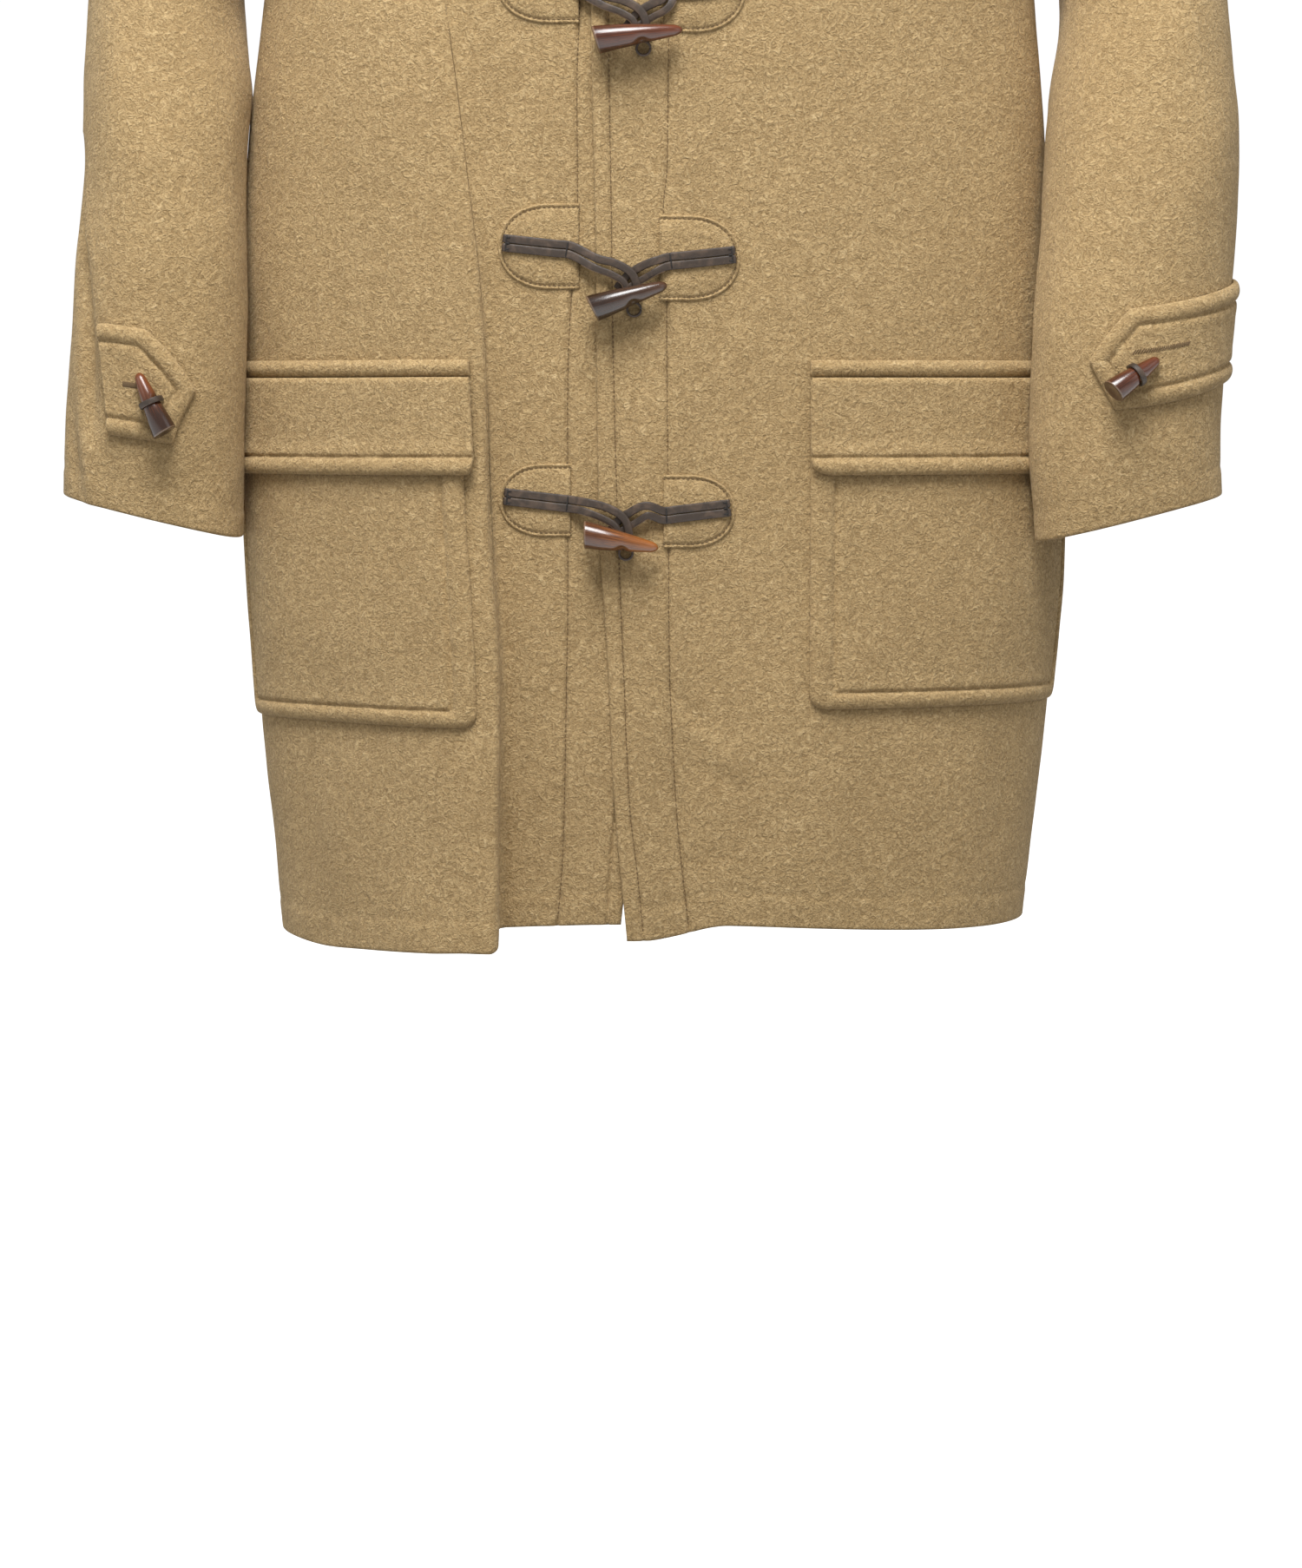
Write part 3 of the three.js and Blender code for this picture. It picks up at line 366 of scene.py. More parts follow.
def shell(name, outer, inner, closed=False):  # a cloth wall, its inside coarser, joined round the edges
    rows, columns = outer.shape[:2]
    small = inner[::wallStep, ::wallStep]
    points = np.concatenate((outer.reshape(-1, 3), small.reshape(-1, 3)))
    out = np.arange(rows * columns).reshape(rows, columns)
    inn = rows * columns + np.arange(small.shape[0] * small.shape[1]).reshape(small.shape[:2])
    faces = [tuple(f) for f in gridFaces(out, closed).tolist()]
    faces += [tuple(reversed(f)) for f in gridFaces(inn, closed).tolist()]
    for row, turned in ((0, False), (-1, True)):
        fine, coarse = out[row].tolist(), inn[row].tolist()
        if closed:
            fine.append(fine[0])
            coarse.append(coarse[0])
        faces += rimFaces(fine, coarse, turned)
    if not closed:
        for column, turned in ((0, True), (-1, False)):
            faces += rimFaces(out[:, column].tolist(), inn[:, column].tolist(), turned)
    if facesInward(outer, inner):
        faces = [tuple(reversed(f)) for f in faces]
    return meshOf(name, points, faces, "wool")


def facesInward(outer, inner):
    r, c = outer.shape[0] // 2, outer.shape[1] // 2
    a, b, d = outer[r, c], outer[r + 1, c], outer[r, c + 1]
    return float(np.dot(np.cross(b - a, d - a), a - inner[r, c])) < 0


def gridNormals(points):
    return unit(np.cross(np.gradient(points, axis=0), np.gradient(points, axis=1)))


def runAlong(points, axis):  # how far each point of a grid lies along its column (0) or row (1)
    lengths = np.cumsum(np.linalg.norm(np.diff(points, axis=axis), axis=-1), axis)
    return np.concatenate((np.zeros_like(np.take(lengths, [0], axis)), lengths), axis)


def steps(*spans):  # fine places along a line: (from, to, how many steps) for each stretch
    out = [spans[0][0]]
    for low, high, n in spans:
        out += list(np.linspace(low, high, n + 1)[1:])
    return np.array(out)


def evenUp(places):  # adds places where they are widest until the inside's coarser steps fit
    places = list(places)
    while (len(places) - 1) % wallStep:
        gaps = np.diff(places)
        i = int(np.argmax(np.abs(gaps)))
        places.insert(i + 1, (places[i] + places[i + 1]) / 2)
    return np.array(places)


rippleDirections = np.random.default_rng(5).normal(size=(14, 3))
ripplePhases = np.random.default_rng(6).uniform(0, 2 * math.pi, 14)


def ripple(points, scale, amount):  # gentle unevenness of the cloth, in waves of about that length
    total = np.zeros(points.shape[:-1])
    for direction, phase in zip(rippleDirections, ripplePhases):
        total += np.sin(points @ (direction * 2 * math.pi / scale / 1.6) + phase)
    return amount * total / math.sqrt(len(ripplePhases))


# The body: two fronts and a back on one rounded form

body = dict(
    cloth=3.0, seamGap=0.3, overlayGap=0.8, neckHalf=85, neckFront=80, neckBack=18, neckTop=10,
    shoulderFall=0.0013, shoulderReach=235, domeStart=-200, underarm=-250, level=-330, firstRow=-62,
    lastRow=-880, hem=-935, squareness=2.3, overlapLift=4.3, overlapBlend=34,
)
bodySections = table("z left right front back",
    (60, 262, 262, 112, 106), (-120, 262, 262, 112, 106), (-250, 265, 264, 113, 107),
    (-430, 286, 279, 112, 106), (-540, 288, 286, 113, 109), (-680, 285, 290, 116, 116),
    (-790, 278, 282, 118, 120), (-950, 264, 266, 118, 124))
armholeSections = table("rise turn", (0, 0), (0.1, 20), (0.3, 34), (0.6, 40), (1, 28))
# The big fold of the left front: its crest, how far it stands out, its step back and how it leans
foldSections = table("z x out step lean",
    (-200, -166, 0, 22, 0), (-288, -156, 6, 18, 0), (-412, -137, 10, 14, 0), (-520, -121, 13, 9, 1),
    (-650, -114, 17, 6, 2), (-755, -109, 21, 6, 4), (-830, -111, 26, 7, 6), (-950, -114, 34, 7, 9))
foldSpread = 135
foldCorner = 9
edgeSections = table("z upper under", (20, -40, 12), (-290, -40, 12), (-470, -37, 12), (-650, -35, 8),
    (-750, -29, -2), (-840, -25, -12), (-940, -16, -21))
backFolds = ((-52, 20, 16), (-8, 17, 13), (34, 22, 18))  # degrees from the back, width in degrees, height
backFoldStart = -470
hemShape = dict(rightCentre=-925, cornerDrop=11, cornerReach=60, leftRecess=-925, leftCrest=-941, reach=260)
# How far the hem hangs below that, across the coat
hemDrop = dict(
    frontLeft=table("x drop", (-280, 9), (-262, 10), (-232, 13), (-200, 10), (-153, 3.5), (-125, 0),
        (0, 0)),
    back=table("x drop", (-280, 9), (-262, 9.5), (-200, 4), (-120, 0), (0, 0)),
)


def shoulderZ(x):
    return body["neckTop"] - body["shoulderFall"] * x * x


def sideAt(onLeft, z):  # how far the body reaches to that side
    return np.where(onLeft, along(bodySections, "z", "left", z), along(bodySections, "z", "right", z))


def turnAt(x, z):
    side = sideAt(np.asarray(x) < 0, z)
    return np.arcsin(power(np.clip(x / side, -1, 1), body["squareness"] / 2))


def plainBody(turn, z):
    sine, cosine = np.sin(turn), np.cos(turn)
    side = sideAt(sine < 0, z)
    depth = np.where(cosine > 0, along(bodySections, "z", "front", z), along(bodySections, "z", "back", z))
    x = side * power(sine, 2 / body["squareness"])
    rise = np.clip((z - body["domeStart"]) / (shoulderZ(x) - body["domeStart"]), 0, 1)
    y = -depth * power(cosine, 2 / body["squareness"]) * np.sqrt(1 - rise * rise)
    return fan(x, y, z)


def normalOf(surface, turn, z):
    across = surface(turn + 0.002, z) - surface(turn - 0.002, z)
    down = surface(turn, z - 0.02) - surface(turn, z)
    return unit(np.cross(down, across))


def foldAt(x, z):
    crest, out, step, lean = (along(foldSections, "z", name, z) for name in ("x", "out", "step", "lean"))
    s = x - crest
    part = (1 + np.cos(np.pi * np.clip(s / foldSpread, -1, 1))) / 2
    corner = np.minimum(foldCorner, out / 2)
    p = s / (2 * step) * 3
    a = np.clip(p, 0, 1) * np.pi / 2
    b = np.clip(p - 2, 0, 1) * np.pi / 2
    place = np.where(p < 1, step * np.sin(a), np.where(p < 2, step, step * (2 - np.cos(b))))
    height = np.where(p < 1, out - corner * (1 - np.cos(a)),
                      np.where(p < 2, mix(out - corner, corner, p - 1), corner * (1 - np.sin(b))))
    rise = np.where(s <= 0, out * part, height)
    aside = np.where(s <= 0, lean * part, place - s + lean * height / np.maximum(out, 0.01))
    none = (out < 0.01) | (s < -foldSpread) | (s > 2 * step)
    return np.where(none, 0, rise), np.where(none, 0, aside)


def frontLeftSurface(turn, z):
    point = plainBody(turn, z)
    out, aside = foldAt(point[..., 0], z)
    normal = normalOf(plainBody, turn, z)
    across = unit(fan(-normal[..., 1], normal[..., 0], 0))
    return point + normal * out[..., None] + across * aside[..., None]


def frontRightSurface(turn, z):
    point = plainBody(turn, z)
    under = along(edgeSections, "z", "under", z)
    lift = body["overlapLift"] * (1 - smooth((point[..., 0] - under - 3) / body["overlapBlend"]))
    return point + normalOf(plainBody, turn, z) * lift[..., None]


def backSurface(turn, z):
    point = plainBody(turn, z)
    grow = np.clip((backFoldStart - z) / (backFoldStart - body["hem"]), 0, 1) ** 1.4
    fromBack = np.where(turn > 0, turn - np.pi, turn + np.pi)
    out = 0
    for place, width, height in backFolds:
        out = out + height * np.exp(-((fromBack - math.radians(place)) / math.radians(width)) ** 2)
    return point + normalOf(plainBody, turn, z) * (out * grow)[..., None]


def armholeTurn(z):
    rise = np.clip((z - body["underarm"]) / (shoulderZ(body["shoulderReach"]) - body["underarm"]), 0, 1)
    return np.radians(along(armholeSections, "rise", "turn", rise))


def neckBlend(z):
    return smooth((z - body["level"]) / (body["firstRow"] - body["level"]))


def edgeTurn(column):
    return lambda z: turnAt(along(edgeSections, "z", column, z), z)


def foldLine(offset):
    return lambda z: turnAt(along(foldSections, "z", "x", z) + offset, z)


def footLine(z):
    foot = along(foldSections, "z", "x", z) + 2 * along(foldSections, "z", "step", z)
    return turnAt(mix(foot, -body["neckHalf"], neckBlend(z)), z)


# Each panel's lines by column, as the turn round the body that each has at a height
frontShift, backShift = -body["seamGap"] / 2, body["seamGap"] / 2
panels = dict(
    frontLeft=dict(surface=frontLeftSurface, shift=frontShift, neckDrop=body["neckFront"], lines=(
        (0, edgeTurn("under")), (6, footLine), (12, foldLine(0)), (13, foldLine(-10)),
        (22, lambda z: -np.pi / 2 + armholeTurn(z)))),
    frontRight=dict(surface=frontRightSurface, shift=frontShift, neckDrop=body["neckFront"], lines=(
        (0, edgeTurn("upper")), (9, lambda z: turnAt(mix(108, body["neckHalf"], neckBlend(z)), z)),
        (18, lambda z: np.pi / 2 - armholeTurn(z)))),
    back=dict(surface=backSurface, shift=backShift, neckDrop=body["neckBack"], lines=(
        (0, lambda z: -np.pi / 2 - armholeTurn(z)),
        (8, lambda z: -np.pi - turnAt(-mix(110, body["neckHalf"], neckBlend(z)), z)),
        (17, lambda z: -np.pi - turnAt(mix(110, body["neckHalf"], neckBlend(z)), z)),
        (25, lambda z: -3 * np.pi / 2 + armholeTurn(z)))),
)


def columnTurn(panel, column, z):
    lines = panel["lines"]
    column, z = np.broadcast_arrays(np.asarray(column, float), np.asarray(z, float))
    turns = [line[1](z) for line in lines]
    out = np.zeros(column.shape)
    for i in range(len(lines) - 1):
        a, b = lines[i][0], lines[i + 1][0]
        inside = (column >= a) & (column <= b)
        out = np.where(inside, mix(turns[i], turns[i + 1], (column - a) / (b - a)), out)
    return out


def hemHeight(name, x):
    if name == "frontRight":
        edge = float(along(edgeSections, "z", "upper", body["hem"]))
        corner = hemShape["cornerDrop"] * (1 - smooth((x - edge - 12) / hemShape["cornerReach"]))
        return mix(hemShape["rightCentre"], body["hem"], smooth(x / hemShape["reach"])) - corner
    if name == "frontLeft":
        fold = foldAt(x, body["hem"])[0] / along(foldSections, "z", "out", body["hem"])
        drop = along(hemDrop["frontLeft"], "x", "drop", np.minimum(x, 0))
        behind = mix(hemShape["leftRecess"], body["hem"], smooth(-x / hemShape["reach"]))
        return mix(behind, hemShape["leftCrest"], fold) - drop
    return body["hem"] - along(hemDrop["back"], "x", "drop", np.minimum(x, 0))


def rowHeight(name, column, z):
    panel = panels[name]
    column, z = np.broadcast_arrays(np.asarray(column, float), np.asarray(z, float))
    first = np.full(z.shape, float(body["firstRow"]))
    x = plainBody(columnTurn(panel, column, first), first)[..., 0]
    inNeck = np.clip(1 - (x / body["neckHalf"]) ** 2, 0, 1)
    top = np.where(np.abs(x) < body["neckHalf"] - 0.01, -panel["neckDrop"] * np.sqrt(inNeck), shoulderZ(x))
    fade = np.clip((z - body["level"]) / (body["firstRow"] - body["level"]), 0, 1)
    upper = z + (top - body["firstRow"]) * fade ** 1.1
    last = np.full(z.shape, float(body["hem"]))
    hemX = plainBody(columnTurn(panel, column, last), last)[..., 0]
    down = np.clip((body["lastRow"] - z) / (body["lastRow"] - body["hem"]), 0, 1)
    lower = mix(body["lastRow"], hemHeight(name, hemX), down)
    return np.where(z > body["level"], upper, np.where(z < body["lastRow"], lower, z))


# The creases that show: each runs from one place to another, as a soft ridge or trough.
creases = dict(
    frontLeft=table("x1 z1 x2 z2 width height",
        (-92, -330, -104, -470, 13, -1.2), (-96, -560, -82, -760, 12, -1.3),
        (-88, -640, -96, -860, 10, 1.0), (-72, -700, -86, -905, 9, -0.9), (-205, -790, -215, -925, 17, 1.4),
        (-165, -800, -150, -935, 14, -1.2), (-245, -800, -238, -930, 12, -1.1),
        (-170, -300, -185, -430, 22, 1.3), (-215, -330, -205, -500, 20, -1.2)),
    frontRight=table("x1 z1 x2 z2 width height",
        (2, -748, 40, -790, 6, -1.1), (6, -778, 66, -822, 7, 1.0), (20, -812, 74, -836, 6, -0.9),
        (60, -360, 120, -620, 26, -1.0), (150, -320, 190, -500, 24, 1.4), (85, -700, 92, -905, 17, 1.2),
        (140, -800, 150, -930, 18, -1.2), (205, -800, 214, -930, 17, 1.2), (246, -790, 240, -925, 12, -1.1),
        (20, -890, 62, -870, 8, -0.7)),
    back=table("x1 z1 x2 z2 width height",
        (-120, -150, -60, -420, 26, 1.6), (90, -170, 60, -450, 30, -1.5), (-30, -380, 10, -700, 28, 1.4),
        (170, -260, 190, -520, 24, 1.6), (-190, -280, -205, -540, 24, -1.6), (40, -620, 60, -900, 22, 1.3)),
)
# Sewn lines on the fronts: place across by height.
sewnLines = dict(
    rightEdge=table("z x", (20, -28), (-336, -28), (-432, -26.7), (-528, -25.5), (-650, -22.5),
        (-754, -18.4), (-843, -14.5), (-887, -9.5), (-940, -4.3)),
    rightPlacket=table("z x", (20, 12), (-304, 11.9), (-368, 11.3), (-416, 10.5), (-440, 8.2), (-480, 10.2),
        (-539, 10.7), (-690, 12), (-754, 12.8), (-821, 16), (-865, 19), (-940, 27.5)),
    leftPlacket=table("z x", (20, -46), (-304, -47.5), (-352, -49.3), (-448, -49.6), (-480, -52.3),
        (-538, -55.8), (-611, -56.4), (-707, -56.6), (-754, -57.6), (-821, -58.8), (-887, -61.2),
        (-940, -66)),
    leftEdge=table("z x", (20, 0), (-650, -4), (-750, -14), (-876, -27), (-940, -31)),
)
linesOn = dict(frontRight=("rightEdge", "rightPlacket"), frontLeft=("leftPlacket", "leftEdge"), back=())
groove = dict(width=1.25, depth=1.7, swell=0.42, swellAt=5, swellWidth=3.8)
edges = dict(round=1.9, seam=0.9, hemLine=23, cuffLine=20, hemRise=0.35, hemDent=0.3, deepest=0.6)


# How high a crease stands at px, pz from its start, when it runs by dx, dz and wanders a little on its way.
def creaseAt(px, pz, dx, dz, width, height, wander):
    length = math.hypot(dx, dz)
    t = (px * dx + pz * dz) / length ** 2
    reach, waves, start = wander
    off = (px * dz - pz * dx) / length + width * reach * np.sin(t * waves + start)
    return height * np.exp(-(off / width) ** 2) * np.sin(np.pi * np.clip(t, 0, 1)) ** 0.8


def creaseRelief(name, x, z):
    total = np.zeros(np.shape(x))
    for x1, z1, x2, z2, width, height in zip(*creases[name].values()):
        total = total + creaseAt(x - x1, z - z1, x2 - x1, z2 - z1, width, height, (0.35, 4.1, x1))
    return total


def clothRelief(name, turn, z):  # the gentle unevenness that everything sewn on follows too
    point = plainBody(turn, z)
    return creaseRelief(name, point[..., 0], z) + ripple(point, 115, 0.55) + ripple(point, 42, 0.18)


def dressed(name, turn, z, lift):
    surface = panels[name]["surface"]
    normal = normalOf(surface, turn, z)
    point = surface(turn, z) + normal * (clothRelief(name, turn, z) + lift)[..., None]
    point[..., 1] += panels[name]["shift"]
    return point


def edgeDrop(distance, radius):  # how far a rounded edge falls, by the distance in from it
    t = np.clip(1 - distance / radius, 0, 1)
    return -radius * (1 - np.sqrt(1 - t * t))


def sewnRelief(distance, run=None):  # a stitched line: a groove that is deeper and shallower along its run
    wave = 1 if run is None else 1 + 0.18 * np.sin(run / 2.9) + 0.12 * np.sin(run / 7.3 + 1)
    dip = -groove["depth"] * np.exp(-(distance / groove["width"]) ** 2) * wave
    fromSwell = (np.abs(distance) - groove["swellAt"]) / groove["swellWidth"]
    return dip + groove["swell"] * np.exp(-fromSwell ** 2)


def hemRelief(distance, line):  # the cloth turned in at a hem, up to its sewn line
    dent = edges["hemDent"] * np.exp(-((distance - line) / 3) ** 2)
    return edges["hemRise"] * smooth((line - distance) / 4) - dent


def panelShell(name, columnPlaces, rowPlaces, sideEdges):
    panel = panels[name]
    column, row = np.meshgrid(evenUp(columnPlaces), evenUp(rowPlaces))
    height = rowHeight(name, column, row)
    turn = columnTurn(panel, column, row)
    x = plainBody(turn, height)[..., 0]
    bare = panel["surface"](turn, height)
    fromLeft, fromTop = runAlong(bare, 1), runAlong(bare, 0)
    fromRight, fromHem = fromLeft[:, -1:] - fromLeft, fromTop[-1:] - fromTop
    relief = edgeDrop(fromHem, edges["round"]) + edgeDrop(fromTop, edges["seam"])
    relief += edgeDrop(fromLeft, sideEdges[0]) + edgeDrop(fromRight, sideEdges[1])
    relief = np.maximum(relief, -body["cloth"] * edges["deepest"])
    relief += hemRelief(fromHem, edges["hemLine"])
    for line in linesOn[name]:
        relief += sewnRelief(x - along(sewnLines[line], "z", "x", height), height)
    outer = dressed(name, turn, height, relief)
    inner = dressed(name, turn, height, np.full(turn.shape, -body["cloth"]))
    printCut(name, bare, fromLeft[:, -1], fromTop[-1])
    return shell(name, outer, inner)


def printCut(name, bare, across, down):
    a = bare[1:, :-1] - bare[:-1, :-1]
    b = bare[:-1, 1:] - bare[:-1, :-1]
    area = np.linalg.norm(np.cross(a, b), axis=-1).sum() * mm * mm
    print(name, "area of cloth", round(float(area), 5), "m2, widest", round(float(across.max())),
          "longest", round(float(down.max())))


edgeSteps = (0, 0.35, 0.9, 1.7, 2.8)


def placesWithEdges(inside, low, high, scale):  # places from end to end, close together at both ends
    near = [low + scale * s for s in edgeSteps]
    far = [high - scale * s for s in reversed(edgeSteps)]
    sign = 1 if high > low else -1
    room = abs(scale) * 1.2
    middle = [p for p in inside if sign * (p - near[-1]) > room and sign * (far[0] - p) > room]
    return np.array(near + middle + far)


openEdge, seamEdge = edges["round"], edges["seam"]
frontRows = np.concatenate((np.arange(-66, -880, -2.9), np.arange(-880, -934, -2.6)))
frontRows = placesWithEdges(frontRows, body["firstRow"], body["hem"], -1)
backRows = placesWithEdges(np.arange(-66, -932, -3.9), body["firstRow"], body["hem"], -1)
leftColumns = placesWithEdges(steps((0, 6, 112), (6, 12, 20), (12, 13, 4), (13, 22, 84)), 0, 22, 0.03)
rightColumns = placesWithEdges(steps((0, 4.1, 62), (4.1, 9, 32), (9, 18, 84)), 0, 18, 0.04)
backColumns = placesWithEdges(steps((0, 8, 56), (8, 17, 56), (17, 25, 56)), 0, 25, 0.04)
frontLeftPiece = panelShell("frontLeft", leftColumns, frontRows, (openEdge, seamEdge))
frontRightPiece = panelShell("frontRight", rightColumns, frontRows, (openEdge, seamEdge))
backPiece = panelShell("back", backColumns, backRows, (seamEdge, seamEdge))
print("body made")


# The sleeves: rings from the armhole to the cuff

sleeve = dict(squareness=2.2, upperClear=3, pocketClear=11, clearFrom=-490, clearTo=-530, centreX=262,
    centreZ=-150, gap=0.7, rows=196, columns=156, mmEachDegree=1.05)
sleeveNames = "outerX outerZ innerX innerZ middleY deep".split()  # of each ring, from the top to the cuff
sleeveRows = dict(
    left=np.array((
        (-262, -80, -276, -254, 0, 78.5), (-299, -105, -282, -263, 0, 79.5),
        (-335, -148, -285, -275, -2, 79.5), (-361.5, -206, -285, -290, -5, 79.5),
        (-385, -268, -283, -314, -10, 77.5),
        (-390.5, -340, -277, -364, -24, 74.5), (-392, -420, -279, -430, -37, 70.5),
        (-399, -505, -280, -510, -49, 63.5), (-403.5, -575, -282, -592, -56, 56.5),
        (-406.5, -632, -284, -662, -58, 50.5)), float),
    right=np.array((
        (262, -80, 276, -254, 0, 78.5), (300, -105, 282, -263, 0, 79.5), (338, -149, 285, -275, -3, 79.5),
        (368, -208, 285, -290, -8, 79.5), (393.5, -270, 283, -314, -16, 77.5),
        (401, -345, 275, -368, -32, 74.5), (403, -430, 269, -435, -48, 70.5),
        (396, -515, 263, -520, -61, 63.5), (391, -585, 260, -600, -69, 56.5),
        (392, -632, 264, -664, -73, 50.5)), float),
)
handOf = dict(left=-1, right=1)


def armholePoint(hand, angle, lift):
    rise = (1 + np.cos(angle)) / 2
    z = mix(body["underarm"], shoulderZ(body["shoulderReach"]), rise)
    turnIn = np.radians(along(armholeSections, "rise", "turn", rise))
    turn = hand * (np.pi / 2 - np.where(np.sin(angle) >= -1e-9, turnIn, -turnIn))
    point = plainBody(turn, z) + normalOf(plainBody, turn, z) * lift
    centre = np.array((hand * sleeve["centreX"], 0, sleeve["centreZ"]))
    return point + unit(centre - point) * sleeve["gap"]


def clearOfBody(point):
    x, y, z = point[..., 0], point[..., 1], point[..., 2]
    clear = mix(sleeve["upperClear"], sleeve["pocketClear"],
                smooth((sleeve["clearFrom"] - z) / (sleeve["clearFrom"] - sleeve["clearTo"])))
    side = sideAt(x < 0, z) + clear
    depth = along(bodySections, "z", "front", z) + clear
    reach = (np.abs(x) / side) ** body["squareness"] + (np.abs(y) / depth) ** body["squareness"]
    inside = (reach < 1) & (z <= body["underarm"] - 2)
    grow = np.where(inside, np.maximum(reach, 1e-6) ** (-1 / body["squareness"]), 1)
    return fan(x * grow, y * grow, z)


def sleeveRing(side, row, angle):
    s = dict(zip(sleeveNames, np.moveaxis(sleeveRows[side][np.maximum(row - 1, 0)], -1, 0)))
    out = power(np.cos(angle), 2 / sleeve["squareness"])
    forward = power(np.sin(angle), 2 / sleeve["squareness"])
    x = (s["outerX"] + s["innerX"]) / 2 + (s["outerX"] - s["innerX"]) / 2 * out
    z = (s["outerZ"] + s["innerZ"]) / 2 + (s["outerZ"] - s["innerZ"]) / 2 * out
    ring = clearOfBody(fan(x, s["middleY"] - s["deep"] * forward, z))
    return np.where((row == 0)[..., None], armholePoint(handOf[side], angle, 0), ring)


def sleeveSurface(side, angle, row):
    last = len(sleeveRows[side])
    angle, row = np.broadcast_arrays(np.asarray(angle, float), np.asarray(row, float))
    i = np.clip(np.floor(row).astype(int), 0, last - 1)
    t = (row - i)[..., None]
    a, b, c, d = (sleeveRing(side, np.clip(i + k, 0, last), angle) for k in (-1, 0, 1, 2))
    fromSlope, toSlope = (c - a) / 2, (d - b) / 2
    return b + t * (fromSlope + t * ((c - b) * 3 - 2 * fromSlope - toSlope
                                     + t * (2 * (b - c) + fromSlope + toSlope)))


# Creases on the sleeves: from one angle and height to another. Angle 0 is the outer side, 90 the front.
sleeveCreases = dict(
    left=table("a1 z1 a2 z2 width height",
        (16, -385, 38, -515, 8, -7.5), (33, -460, 62, -600, 8, -7.0), (24, -395, 48, -520, 8, 2.0),
        (28, -560, 50, -640, 8, -3.0), (44, -585, 60, -650, 7, 2.0), (50, -300, 75, -430, 18, 1.8),
        (100, -320, 120, -470, 18, -1.6), (64, -595, 78, -640, 8, -1.2), (140, -330, 150, -520, 14, 1.5),
        (200, -360, 240, -520, 22, -2.4), (270, -340, 300, -560, 22, 2.4),
        (320, -420, 340, -600, 18, -2.2)),
    right=table("a1 z1 a2 z2 width height",
        (35, -300, 60, -450, 20, 1.8), (112, -330, 128, -500, 18, -1.6), (60, -560, 92, -600, 14, -1.1),
        (135, -360, 150, -560, 13, 1.5), (96, -585, 120, -650, 12, 1.2), (200, -360, 240, -520, 22, -2.4),
        (270, -340, 300, -560, 22, 2.4), (320, -420, 340, -600, 18, -2.2)),
)


def sleeveRelief(side, angle, point):
    total = ripple(point, 100, 0.8) + ripple(point, 36, 0.22)
    turn = np.degrees(angle) % 360
    each = sleeve["mmEachDegree"]
    for a1, z1, a2, z2, width, height in zip(*sleeveCreases[side].values()):
        px, pz = ((turn - a1 + 180) % 360 - 180) * each, point[..., 2] - z1
        total = total + creaseAt(px, pz, (a2 - a1) * each, z2 - z1, width, height, (0.3, 3.7, a1))
    return total


def sleeveDressed(side, angle, row, lift):
    step = 0.01
    last = len(sleeveRows[side])
    point = sleeveSurface(side, angle, row)
    across = sleeveSurface(side, angle + step, row) - sleeveSurface(side, angle - step, row)
    below = sleeveSurface(side, angle, np.minimum(row + step, last))
    above = sleeveSurface(side, angle, np.maximum(row - step, 0))
    normal = unit(np.cross(across, below - above)) * handOf[side]
    relief = sleeveRelief(side, angle, point) * smooth(np.asarray(row) / 1.2)
    return point + normal * (relief + lift)[..., None]


def addSleeve(side):
    last = len(sleeveRows[side])
    rows = evenUp(placesWithEdges(np.linspace(0, last, sleeve["rows"]), 0, last, 0.014))
    angles = np.linspace(0, 2 * np.pi, sleeve["columns"] + 1)[:-1]
    angle, row = np.meshgrid(angles, rows)
    bare = sleeveSurface(side, angle, row)
    fromTop = runAlong(bare, 0)
    fromCuff = fromTop[-1:] - fromTop
    relief = edgeDrop(fromCuff, edges["round"]) + edgeDrop(fromTop, edges["seam"])
    relief += hemRelief(fromCuff, edges["cuffLine"])
    outer = sleeveDressed(side, angle, row, relief)
    inner = sleeveDressed(side, angle, row, np.full(row.shape, -body["cloth"]))
    inner[0] = armholePoint(handOf[side], angles, -body["cloth"])
    name = "sleeve" + side.capitalize()
    printCut(name, bare, runAlong(np.concatenate((bare, bare[:, :1]), 1), 1)[:, -1], fromTop[-1])
    return shell(name, outer, inner, closed=True)


sleevePieces = {side: addSleeve(side) for side in ("left", "right")}
print("sleeves made")


# The hood, thrown back: one line from the neck seam to the rim at each turn round the neck

hood = dict(gap=1, columns=148, rows=100, start=10)
hoodSections = table("turn standOut standUp fallOut fallUp lowOut lowUp riseOut riseUp rimOut rimUp",
    (10, 2, 9, 5, 16, 8, 20, 10, 27, 9, 34), (50, 6, 12, 16, 17, 27, 18, 36, 30, 31, 48),
    (90, 9, 14, 34, 9, 62, 1, 80, 18, 70, 46), (120, 11, 13, 46, -2, 96, -62, 114, -18, 90, 42),
    (150, 12, 11, 52, -36, 90, -178, 124, -92, 100, 34),
    (180, 13, 10, 55, -60, 86, -205, 132, -120, 106, 28))


def panelTop(name, columns):
    column = np.asarray(columns, float)
    row = np.full(column.shape, float(body["firstRow"]))
    point = panels[name]["surface"](columnTurn(panels[name], column, row), rowHeight(name, column, row))
    point[..., 1] += panels[name]["shift"]
    return point


